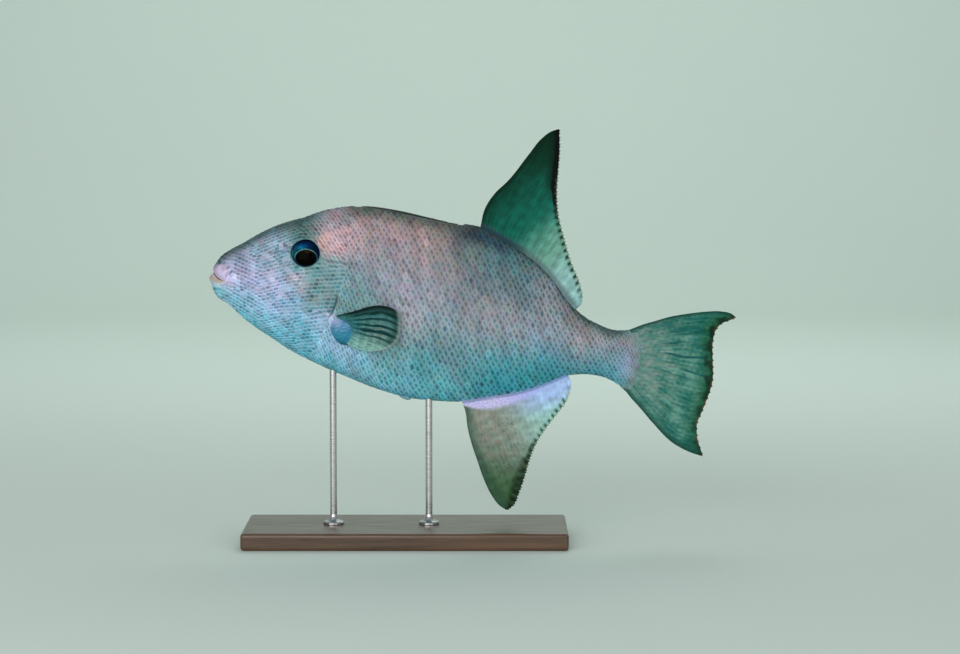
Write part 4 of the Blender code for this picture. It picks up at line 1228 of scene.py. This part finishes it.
def build_fin(name, node, edges, rays, thickness, sideways, paint, material, rows=110, per_ray=12,
              notch=1.3, ray_shape=None, rounded=0.0):
    """One closed sheet of rays and web, over u from the front to the rear and v outwards.

    sideways gives y, paint the colours and thickness the half width. notch is how deep the margin is
    cut between rays, in millimetres, and rounded the share by which the last rays are shorter.
    """
    shape = ray_shape or {}
    inner = np.linspace(0, 1, rays * per_ray + 1)[1:-1]
    outer, rounding = np.array([0, 0.0006, 0.0018, 0.0035]), 0.0036
    u = np.concatenate([outer, inner, 1 - outer[::-1]])[:, None]
    v = np.sort(np.concatenate([np.linspace(0, 1, rows), [0.994, 0.997, 0.9985]]))[None]
    plain = coons(edges, u, v)
    lengths = np.linalg.norm(np.diff(plain, axis=1), axis=2).sum(1)[:, None]
    x = u * rays
    ridge = ray_ridges(x, v, **shape)
    tips = 1 - ray_ridges(x, np.ones_like(v), **shape)
    reach = v - notch / np.maximum(lengths, 12) * tips * ease(0.86, 1, v) * v
    reach = reach * (1 - rounded * np.clip((u - 0.955) / 0.045, 0, 1) ** 2)
    place = coons(edges, u, reach)
    s, t = place[..., 0], place[..., 1]
    edge = np.sqrt(np.clip(np.minimum(u, 1 - u) / rounding, 0, 1))
    margin = np.sqrt(np.clip((1 - v) * lengths / 0.5, 0.02, 1))
    half = thickness(u, v, ridge, lengths) * np.maximum(edge, 0.12) * margin
    push = sideways(u, v, place)
    colours = paint(s, t, u, v, ridge, lengths)
    extra = np.stack(np.broadcast_arrays(x, v * lengths, ridge), -1)
    points = np.stack([np.stack([s, push + side * half, t], -1) for side in (-1, 1)])
    run, rise = plain[-1, 0] - plain[0, 0], plain[len(u) // 2, -1] - plain[len(u) // 2, 0]
    faces = sheet_faces(*s.shape, flip=run[0] * rise[1] > run[1] * rise[0])
    piece = make_piece(name, points, faces, [colours, colours], material,
                       extra=np.stack([extra, extra]))
    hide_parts(node)


def fin_edges(fin, root):
    """The sheet's edges: its root line, front edge, outer margin and rear edge."""
    first, last = root(np.array(0.0)), root(np.array(1.0))
    front = path_through([first, *fin["front"], fin["tip"]])
    margin = path_through([fin["tip"], *fin["margin"], fin["last"]])
    return root, front, margin, path_through([last, *fin["back"], fin["last"]])


def before_margin(fin, s, t):
    """How far a place lies in front of the trailing edge."""
    edge = np.array([fin["tip"], *fin["margin"], fin["last"]], float)
    edge = edge[edge[:, 1].argsort()]
    return np.interp(t, edge[:, 1], edge[:, 0]) - s


def between_rays(fin, u, width):
    """1 half way between two rays."""
    x = u * fin["rays"]
    return bump(x - np.round(x), width)


def build_median(name, node, fin, upper, paint, material):
    """A fin on the midline, with a fleshy foot and a slight wave."""
    start, end = fin["root"]
    sign, sunk = 1 if upper else -1, 1.4

    def root(u):
        s = start + (end - start) * np.asarray(u, float)
        level = widest(s)
        return np.stack([s, level + sign * (half_height(s, level, upper) - sunk)], -1)

    def thickness(u, v, ridge, lengths):
        swell = np.maximum(1 - v * lengths / fin["sheath"], 0) ** 2
        taper = 1 - v
        rays = 0.5 * bump(u, 0.03) * taper + ridge * (0.2 + 0.36 * taper)
        return 0.16 + 0.3 * taper + (2.1 - 0.6 * u) * swell + (1 - swell) * rays

    def sideways(u, v, place):
        return 4.0 * v * np.sin(2 * math.pi * (0.85 * u + 0.1))

    build_fin(name, node, fin_edges(fin, root), fin["rays"], thickness, sideways, paint, material,
              rounded=0.3)


def paint_dorsal(s, t, u, v, ridge, lengths):
    """Dark green, nearly black along the upper trailing edge, and pale and clear at the rear."""
    rearness = (s - 250) * 0.75 + (95 - t) * 0.65 + 2.5 * wave(31, s, t, 18)
    clear = ease(6, 46, rearness)
    colours = painted(
        mix((2, 60, 44), (12, 98, 82), ease(-34, 6, rearness)),
        ((112, 166, 148), ease(2, 42, rearness)),
        ((152, 198, 196), ease(42, 66, rearness)),
    )
    colours = painted(
        colours,
        (colours * 0.86, (1 - ridge) * (0.2 + 0.25 * clear)),
        ((170, 196, 184), 0.14 * ridge * clear),
    )
    cloud = wave(34, s, t, 7) + 0.7 * wave(35, s, t, 2.6)
    inside = before_margin(SECOND_DORSAL, s, t)
    dark_width = np.interp(t, (100, 130, 165, 180), (3.6, 6.4, 5.0, 4.4))
    inwards = (inside + 0.5 * wave(33, s, t, 6)) / dark_width
    between = between_rays(SECOND_DORSAL, u, 0.26)
    spots = ease(6.6, 3.6, inside) * ease(120, 108, t) * ease(30, 56, t) * between
    ticks = ease(4.0, 1.6, inside) * ease(146, 132, t) * ease(34, 50, t) * (1 - between)
    low = v * lengths
    return painted(
        colours * (1 + 0.07 * cloud)[..., None],
        ((4, 30, 20), 0.75 * bump(u, 0.03)),
        ((2, 38, 22), 0.82 * ease(130, 170, t)),
        ((2, 30, 18), 0.6 * ease(2.4, 1.0, inwards) * ease(112, 134, t)),
        ((0, 5, 2), 0.97 * ease(1.15, 0.75, inwards) * ease(98, 112, t)),
        ((6, 42, 30), 0.95 * spots),
        ((138, 150, 112), 0.6 * ticks),
        ((84, 100, 106), 0.6 * ease(8, 2.5, low)),
        ((30, 52, 66), 0.7 * ease(6.5, 2.0, low) * ease(0.5, 0.3, u)),
    )


def paint_anal(s, t, u, v, ridge, lengths):
    """Lilac fleshy base, web mottled rosy brown and grey green, dark trailing edge and a clear rear."""
    height = v * lengths
    cloud = np.clip(0.5 + 0.35 * wave(45, s, t, 9) + 0.22 * wave(46, s, 0.6 * t, 3.4), 0, 1)
    rear = ease(0.3, 0.76, u + 0.03 * wave(42, s, t, 14))
    dust = wave(43, s, t, 2.4) * wave(44, s, t, 3.7)
    colours = painted(
        mix((106, 134, 118), (150, 166, 154), ease(-122, -82, t)),
        ((158, 140, 126), 0.6 * cloud * bump(u - 0.05, 0.36) * ease(-140, -100, t)),
        (mix((180, 208, 255), (166, 216, 208), ease(10, 30, height)), rear),
    )
    colours = painted(
        colours,
        (colours * 0.88, 0.6 * (1 - ridge)),
        ((164, 160, 150), 0.2 * ridge * (1 - rear)),
        ((72, 84, 72), 0.35 * np.clip(dust - 0.1, 0, 1) * ease(0.15, 0.3, v) * (1 - rear)),
        ((62, 99, 62), 0.85 * ease(-104, -140, t)),
        ((44, 78, 62), 0.6 * bump(u, 0.06)),
    )
    colours = colours * (1 + 0.06 * wave(49, s, t, 6) + 0.03 * wave(50, s, t, 2.8))[..., None]
    inside = before_margin(ANAL, s, t) + 0.6 * wave(47, s, t, 7)
    dark_width = np.interp(t, (-152, -138, -120, -104, -90, -60), (7, 12, 11, 7.5, 5, 3.4))
    dark = ease(1.1, 0.35, inside / dark_width) * ease(-84, -100, t)
    grime = np.clip(0.8 + 0.3 * wave(39, s, t, 4), 0, 1)
    between = between_rays(ANAL, u, 0.27)
    spots = ease(6.4, 3.2, inside) * ease(-112, -98, t) * ease(-42, -54, t) * between
    ticks = ease(4.0, 1.4, inside) * ease(-126, -112, t) * (1 - between)
    foot = np.interp(u, (0, 0.1, 0.24, 0.4, 0.6, 0.8, 1), (5.0, 9.5, 12.5, 11.0, 8.0, 5.0, 3))
    fleshy = ease(1.08 + 0.5 * u, 0.78 - 0.36 * u, height / foot)
    streak = 0.5 + 0.3 * np.sin(height * 2.2 + 2.4 * wave(41, s, t, 9)) + 0.25 * wave(48, s, t, 1.6)
    lilac = mix((190, 184, 250), (232, 222, 255), np.clip(streak, 0, 1) * ease(0.7, 0.3, u))
    lilac = mix(lilac, (172, 198, 252), ease(0.4, 0.9, u))
    return painted(
        colours,
        ((18, 34, 16), 0.92 * dark * grime),
        ((34, 76, 58), 0.9 * spots),
        ((160, 168, 140), 0.5 * ticks),
        (lilac, 0.95 * fleshy),
        ((84, 112, 150), 0.5 * ease(3.4, 1.6, height)),
    )


# Dark streaks of the tail fin: place across the fan, where each starts and ends outwards, and share
TAIL_STREAKS = [(0.19, 0.66, 0.92, 0.5), (0.27, 0.36, 0.62, 0.7), (0.30, 0.74, 0.97, 0.5),
                (0.365, 0.30, 0.97, 0.8), (0.47, 0.52, 0.98, 0.7), (0.60, 0.30, 0.58, 0.4),
                (0.72, 0.55, 0.9, 0.4)]


def paint_tail(s, t, u, v, ridge, lengths):
    """Grey green, rosy at the root, with a few dark streaks, a brown-black margin and a rusty fringe."""
    fan_u, fan_v = u + 0 * v, v + 0 * u
    streak = 0.5 + 0.24 * wave(91, 60 * fan_u, 2.2 * fan_v, 3.2)
    streak = streak + 0.14 * wave(93, 60 * fan_u, 3.0 * fan_v, 1.3)
    streak = streak + 0.22 * wave(94, s, t, 9) + 0.12 * wave(96, s, t, 3) + 0.3 * bump(fan_u - 0.58, 0.22)
    rosy = np.clip(0.45 + 0.45 * wave(95, s, 1.7 * t, 8) + 0.3 * wave(97, s, 1.7 * t, 3), 0, 1)
    less_below = 1 - 0.6 * ease(0.72, 0.95, u)
    colours = painted(
        mix((28, 106, 96), (96, 148, 134), np.clip(streak - 0.18 * bump(fan_u, 0.2), 0, 1)),
        ((156, 146, 142), 0.62 * rosy * ease(0.85, 0.08, v) * ease(-0.06, 0.14, v) * less_below),
        ((122, 140, 120), 0.3 * ridge * ease(0.1, 0.3, v) * ease(0.9, 0.6, v)),
        ((14, 74, 70), 0.35 * (1 - ridge) * (1 - streak) * ease(0.15, 0.5, v)),
        ((122, 148, 143), 0.42 * ease(0.5, 0.1, v) * less_below),
        ((24, 80, 46), 0.62 * ease(0.74, 0.95, v) * (1 - 0.4 * ease(0.6, 0.8, u))),
    )
    for place, start, end, share in TAIL_STREAKS:
        along = ease(start, start + 0.14, v) * ease(end, end - 0.1, v)
        sway = 0.008 * np.sin(9 * v + 40 * place)
        colours = mix(colours, (4, 74, 78), share * bump(fan_u - place - sway, 0.0085) * along)
    edge = np.clip(bump(u, 0.035) + bump(1 - u, 0.045), 0, 1)
    colours = mix(colours, (16, 66, 56), 0.85 * edge) * (1 + 0.05 * wave(98, s, t, 1.8))[..., None]
    dark_width = np.interp(u, (0, 0.12, 0.3, 0.5, 0.75, 1), (0.06, 0.10, 0.13, 0.11, 0.09, 0.07))
    inward = (1 - v) / dark_width + 0.25 * np.sin(u * 60) + 0.2 * wave(92, s, t, 4)
    rust = ease(0.972, 0.99, v) * (0.55 + 0.45 * np.sin(u * 50 + 1))
    return painted(
        colours,
        ((14, 40, 28), 0.9 * ease(1.15, 0.1, inward) * (1 - 0.3 * ease(0.5, 0.8, u))),
        ((134, 84, 44), 0.7 * rust),
    )


def paint_pectoral(s, t, u, v, ridge, lengths):
    """Dark olive with fine darker streaks, paler and clearer below, and a faint pale rear rim that is a
    painted highlight.
    """
    fan_u, fan_v = u + 0 * v, v + 0 * u
    uneven = wave(101, 40 * fan_u, 5 * fan_v, 4) + 0.6 * wave(102, 40 * fan_u, 9 * fan_v, 1.6)
    bands = ease(0.3, 0.85, 0.5 + 0.5 * np.cos(2 * math.pi * (9 * fan_u - 0.2) + 0.7 * uneven))
    bands = bands * ease(0.05, 0.34, v) * (1 - 0.85 * ease(0.52, 0.76, u))
    lower = ease(0.45, 0.82, u)
    colours = painted(
        mix((60, 126, 126), (136, 190, 182), lower),
        ((152, 142, 130), 0.55 * bump(u - 0.5, 0.24) * bump(v - 0.66, 0.26)),
        (mix((6, 54, 56), (74, 136, 132), lower), bands),
        ((110, 132, 112), 0.2 * np.clip(uneven, 0, 1)),
    )
    root = mix((44, 104, 114), (108, 150, 164), ease(0.4, 0.9, u))
    colours = painted(
        colours,
        (colours * 0.84, 0.5 * (1 - ridge)),
        (root, 0.6 * ease(0.36, 0.08, v) * ease(0.1, 0.3, u)),
        ((6, 32, 30), 0.88 * bump(u, 0.13) * ease(0.0, 0.3, v)),
        ((8, 26, 24), 0.8 * bump(u, 0.04)),
        ((20, 44, 38), 0.5 * ease(0.78, 0.92, v) * ease(0.75, 0.5, u)),
    )
    colours = colours * (1 + 0.07 * wave(105, s, t, 1.5) + 0.06 * wave(106, s, t, 3))[..., None]
    # Pale rim along the margin: painted highlight
    return mix(colours, (166, 170, 170), 0.65 * ease(0.91, 0.98, v))


def build_tail(material):
    top, bottom = CAUDAL["root"]
    inward = 3.0

    def root(u):
        t = top + (bottom - top) * np.asarray(u, float)
        return np.stack([-tail_arc(0.0, t) - inward, t], -1)

    def thickness(u, v, ridge, lengths):
        taper = 1 - v
        spread = np.sin(math.pi * np.clip(u, 0.04, 0.96)) ** 0.5
        edge = 0.5 * (bump(u, 0.05) + bump(1 - u, 0.05)) * taper
        return 0.18 + 2.4 * spread * taper**4 + edge + ridge * (0.22 + 0.38 * taper)

    def sideways(u, v, place):
        return 3.0 * v * v * np.sin(2 * math.pi * (0.8 * u + 0.15))

    build_fin("caudal_fin_rays", "caudal_fin", fin_edges(CAUDAL, root), CAUDAL["rays"], thickness,
              sideways, paint_tail, material, per_ray=26, notch=0.9,
              ray_shape={"width": 0.1, "spread": 0.25, "from_v": 0.12})


def pad_y():
    """Half width of the head under the pectoral fin's pad."""
    return float(flank(PAD["s"], PAD["t"]))


def build_pectoral(word, side, material):
    """Fan of rays that stands out of its pad and clears the flank."""
    under_pad = 1.5

    def thickness(u, v, ridge, lengths):
        taper = 1 - v
        return 0.14 + 0.45 * taper**2 + ridge * (0.16 + 0.32 * taper)

    def sideways(u, v, place):
        away = place[..., 0] - PAD["s"]
        bow = 1.6 * np.sin(math.pi * u) * v - 0.0016 * away * away
        wanted = pad_y() + PECTORAL_LIFT - under_pad * ease(30, 8, away) + PECTORAL_FLARE * away + bow
        clear = flank(place[..., 0], place[..., 1]) + 0.9
        over = wanted - clear
        return side * (clear + 0.5 * (over + np.sqrt(over * over + 0.8)))

    edges = fin_edges(PECTORAL, path_through(PECTORAL["root"]))
    build_fin(f"pectoral_rays_{word}", f"pectoral_fin_{word}", edges, PECTORAL["rays"], thickness, sideways,
              paint_pectoral, material, rows=60, per_ray=14, notch=0.8,
              ray_shape={"spread": 0.14, "width": 0.17})


def build_pad(word, side, material):
    """Fleshy, finely scaled pad at the root of the pectoral fin."""
    rows, columns = 40, 84
    fall, x, z = ball_grid(rows, columns, 0.02, math.pi * 0.56)
    ds, dt = turned(x * PAD["length"], z * PAD["breadth"], math.radians(PAD["tilt"]))
    count, golden = 64, math.pi * (3 - math.sqrt(5))
    spiral = np.arange(count)
    far = np.sqrt((spiral + 0.5) / count)
    seed_x, seed_z = far * np.cos(spiral * golden), far * np.sin(spiral * golden)
    near = 10.5 * np.hypot(x[..., None] - seed_x, z[..., None] - seed_z).min(-1)
    dome = ease(1.4, 0.3, near)
    height = (PAD["height"] - 0.2) * np.cos(fall) + 0.13 * dome * np.cos(fall).clip(0)
    points = np.stack([PAD["s"] + ds, side * (pad_y() - 0.4 + height), PAD["t"] + dt], -1)
    upper = ease(-6, 9, dt - 0.3 * ds)
    dark = mix((18, 102, 134), (52, 114, 156), upper)
    pale = mix((50, 142, 170), (126, 160, 202), upper)
    uneven = 0.5 + 0.45 * wave(103, ds, dt, 3.2) + 0.4 * wave(104, ds, dt, 1.4)
    rim = ease(0.84, 0.97, np.sin(fall)) * ease(0, 4, ds) * ease(-6, 0, dt)
    colours = painted(
        pale,
        (dark, np.clip(0.35 * dome + 0.5 * uneven, 0, 1)),
        # Dark at the lower tip: painted shade
        ((14, 82, 98), 0.7 * ease(-7, -11, dt)),
        # Pale lilac spot at the upper front: painted highlight
        ((196, 190, 222), 0.65 * bump(np.hypot(ds + 8, dt - 8), 4.5)),
        ((176, 176, 196), 0.6 * rim),
    )
    faces = tube_faces(rows, columns, flip=side < 0)
    make_piece(f"pectoral_pad_{word}", points, faces, colours, material)


def tube_rings(path, radii, sides):
    """Points of a round tube along a path, ring by ring."""
    run = unit(np.gradient(path, axis=0))
    side = unit(np.cross(run, (0, 0, 1.0)))
    rise = np.cross(side, run)
    turn = (np.arange(sides) + 0.5) / sides * 2 * math.pi
    round_it = np.cos(turn)[None, :, None] * side[:, None] + np.sin(turn)[None, :, None] * rise[:, None]
    return path[:, None] + np.asarray(radii)[:, None, None] * round_it


FOLDED_SPINES = [
    {"root": 117.5, "tip": 176.0, "radius": 2.0, "proud": 0.2, "aside": -0.2},
    {"root": 148.0, "tip": 193.0, "radius": 1.5, "proud": -0.5, "aside": 0.6},
    {"root": 178.0, "tip": 202.0, "radius": 1.2, "proud": -0.8, "aside": -0.3},
]


def build_first_dorsal(material):
    """Three spines folded back in the groove of the back, with their web pleated between them."""
    points, faces, colours, start, sides = [], [], [], 0, 20
    for spine in FOLDED_SPINES:
        f = np.linspace(0, 1, 70)
        s = spine["root"] + (spine["tip"] - spine["root"]) * f
        radius = spine["radius"] * (1 - 0.72 * f) * (1 + 0.05 * np.sin(s * 3.1) * (1 - f))
        radius[:4] *= (0.3, 0.7, 0.9, 1.0)
        height = back(s) + spine["proud"] * np.sin(math.pi * f) - radius - 0.3 * (1 - f) ** 4 - 0.7 * f**3
        rings = tube_rings(np.stack([s, spine["aside"] + 0 * s, height], -1), radius, sides)
        points.append(rings.reshape(-1, 3))
        faces += tube_faces(len(s), sides, start)
        tone = 1 + 0.12 * np.sin(np.arange(sides) * 2.2)
        colours.append((mix((58, 62, 58), (30, 44, 44), f)[:, None] * tone[:, None]).reshape(-1, 3))
        start += len(points[-1])
    f = np.linspace(0, 1, 150)[:, None]
    s = GROOVE["start"] + 3 + (GROOVE["end"] - GROOVE["start"] - 6) * f
    across = np.linspace(-1, 1, 33)[None]
    y = across * 2.5 * (0.4 + 0.6 * np.sin(math.pi * f) ** 0.4)
    pleats = 0.34 * np.cos(across * 15) * np.sin(math.pi * f) + 0.1 * wave(51, s, y * 9, 9)
    t = back(s) - 1.7 - 1.0 * across**2 + pleats
    # Paler on the pleats' crests and darker in their troughs: painted light and shade
    web = mix((24, 46, 46), (46, 66, 62), 0.5 + 0.5 * np.cos(across * 15) + 0 * y).reshape(-1, 3)
    points += [np.stack([s + 0 * y, y * narrower, t - drop], -1).reshape(-1, 3)
               for narrower, drop in ((1.0, 0.0), (0.8, 1.6))]
    # The web's underside at half the brightness: painted shade
    colours += [web, web * 0.5]
    faces += sheet_faces(*y.shape, start, flip=True)
    points, colours = np.concatenate(points), np.concatenate(colours)
    piece = make_piece("folded_spines", points, faces, colours, material)
    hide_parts("first_dorsal_fin")


def build_pelvic_knob(material):
    """Rough stub at the end of the pelvis."""
    f, sides = np.linspace(-1, 1, 40), 28
    s = 184.0 + 5.5 * f
    height = belly(s) + 1.0 - 0.75 * (1 + f)
    radius = np.interp(f, [-1, -0.5, 0, 0.5, 0.9, 1], [0.9, 1.9, 2.1, 2.0, 1.1, 0.3])
    points = tube_rings(np.stack([s, 0 * s, height], -1), radius, sides)
    ripple = np.sin(np.arange(sides) * 1.35 + s[:, None] * 2.4)
    points[..., 2] -= 0.12 * ripple
    colours = mix((88, 146, 160), (130, 176, 188), 0.5 + 0.5 * ripple)
    piece = make_piece("pelvic_stub", points, tube_faces(len(s), sides), colours, material)
    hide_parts("pelvic_spine")


# Stage

def stage_material(colour, roughness):
    """Plain paint, very slightly uneven."""
    shader = Shader("pale_stage", roughness)
    darker = tuple(0.9 * c for c in colour[:3]) + (1,)
    shader.coloured(shader.blend(shader.remap(shader.noise(3.0, 4.0), 0.3, 0.7, 0.0, 0.12), colour, darker))
    return shader.material


def build_stage():
    """Pale floor that sweeps up into a backdrop."""
    turn = np.linspace(0, math.pi / 2, 24)
    radius, wall = 0.9, 2.4
    profile = [(-9.0, 0.0), (wall, 0.0)]
    profile += [(wall + radius * math.sin(a), radius * (1 - math.cos(a))) for a in turn[1:]]
    profile += [(wall + radius, 4.0)]
    points = [(x, y, z) for y, z in profile for x in (-8.0, 8.0)]
    faces = [(2 * k, 2 * k + 1, 2 * k + 3, 2 * k + 2) for k in range(len(profile) - 1)]
    mesh = bpy.data.meshes.new("backdrop")
    mesh.from_pydata(points, [], faces)
    mesh.shade_smooth()
    mesh.materials.append(stage_material((0.74, 0.86, 0.79, 1), 0.85))
    backdrop = bpy.data.objects.new("backdrop", mesh)
    bpy.context.scene.collection.objects.link(backdrop)


# Level with the photo: aim, distance, degrees it looks down, and the width seen at the aim
CAMERA = {"target": (0.0063, 0.0, 0.187), "distance": 2.4, "elevation": 5.0, "width": 0.8304}


def build_camera():
    """Camera at the photo's angle: it looks along +Y, a little downwards."""
    data = bpy.data.cameras.new("camera")
    data.sensor_width = 36.0
    data.lens = 36.0 * CAMERA["distance"] / CAMERA["width"]
    camera = bpy.data.objects.new("camera", data)
    bpy.context.scene.collection.objects.link(camera)
    lean = math.radians(CAMERA["elevation"])
    away = Vector((0, -math.cos(lean), math.sin(lean))) * CAMERA["distance"]
    camera.location = Vector(CAMERA["target"]) + away
    camera.rotation_euler = (math.radians(90 - CAMERA["elevation"]), 0, 0)
    bpy.context.scene.camera = camera


# Area lights: place, size, power and colour
LIGHTS = {
    "key": ((-0.8, -2.0, 0.62), 1.6, 26.0, (1.0, 0.98, 0.95)),
    "fill": ((1.2, -1.9, 0.22), 1.6, 15.0, (0.95, 0.98, 1.0)),
    "rim": ((0.3, 1.3, 1.6), 1.2, 5.0, (1.0, 1.0, 1.0)),
    "wash": ((0.0, 1.7, 2.1), 2.2, 16.0, (0.95, 1.0, 0.97)),
}
WASH_AIM = (0.0, 3.2, 0.5)


def build_lights():
    for name, (place, size, power, colour) in LIGHTS.items():
        data = bpy.data.lights.new(name, "AREA")
        data.size, data.energy, data.color = size, power, colour
        light = bpy.data.objects.new(name, data)
        light.location = place
        aim = Vector(WASH_AIM if name == "wash" else CAMERA["target"]) - Vector(place)
        light.rotation_euler = aim.to_track_quat("-Z", "Y").to_euler()
        bpy.context.scene.collection.objects.link(light)
    world = bpy.data.worlds.new("soft_light")
    bpy.context.scene.world = world
    world.use_nodes = True
    world.node_tree.nodes["Background"].inputs["Color"].default_value = (0.93, 0.97, 1.0, 1)
    world.node_tree.nodes["Background"].inputs["Strength"].default_value = 0.34


def dress_stand():
    """Wood for the plinth and brushed steel for its rods."""
    wood, steel = wood_material(), steel_material()
    for node, obj in frame["nodes"].items():
        if node.startswith("stand_"):
            obj.data.materials.clear()
            obj.data.materials.append(wood if node == "stand_base" else steel)


def main():
    bpy.context.scene.view_settings.view_transform = "Standard"
    build_camera()
    build_stage()
    build_lights()
    smooth_hide, scales, web = hide_material(), scale_material(), fin_material()
    wet = eye_material()
    skin = build_skin(smooth_hide)
    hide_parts("head", "torso", "tail_stem")
    build_coat(scales)
    for word, side in SIDES.items():
        build_eye(word, side, wet)
        build_orbit(word, side, smooth_hide)
        build_pectoral(word, side, web)
        build_pad(word, side, smooth_hide)
    build_first_dorsal(smooth_hide)
    build_pelvic_knob(smooth_hide)
    build_median("second_dorsal_rays", "second_dorsal_fin", SECOND_DORSAL, True, paint_dorsal, web)
    build_median("anal_rays", "anal_fin", ANAL, False, paint_anal, web)
    build_tail(web)
    dress_stand()


main()
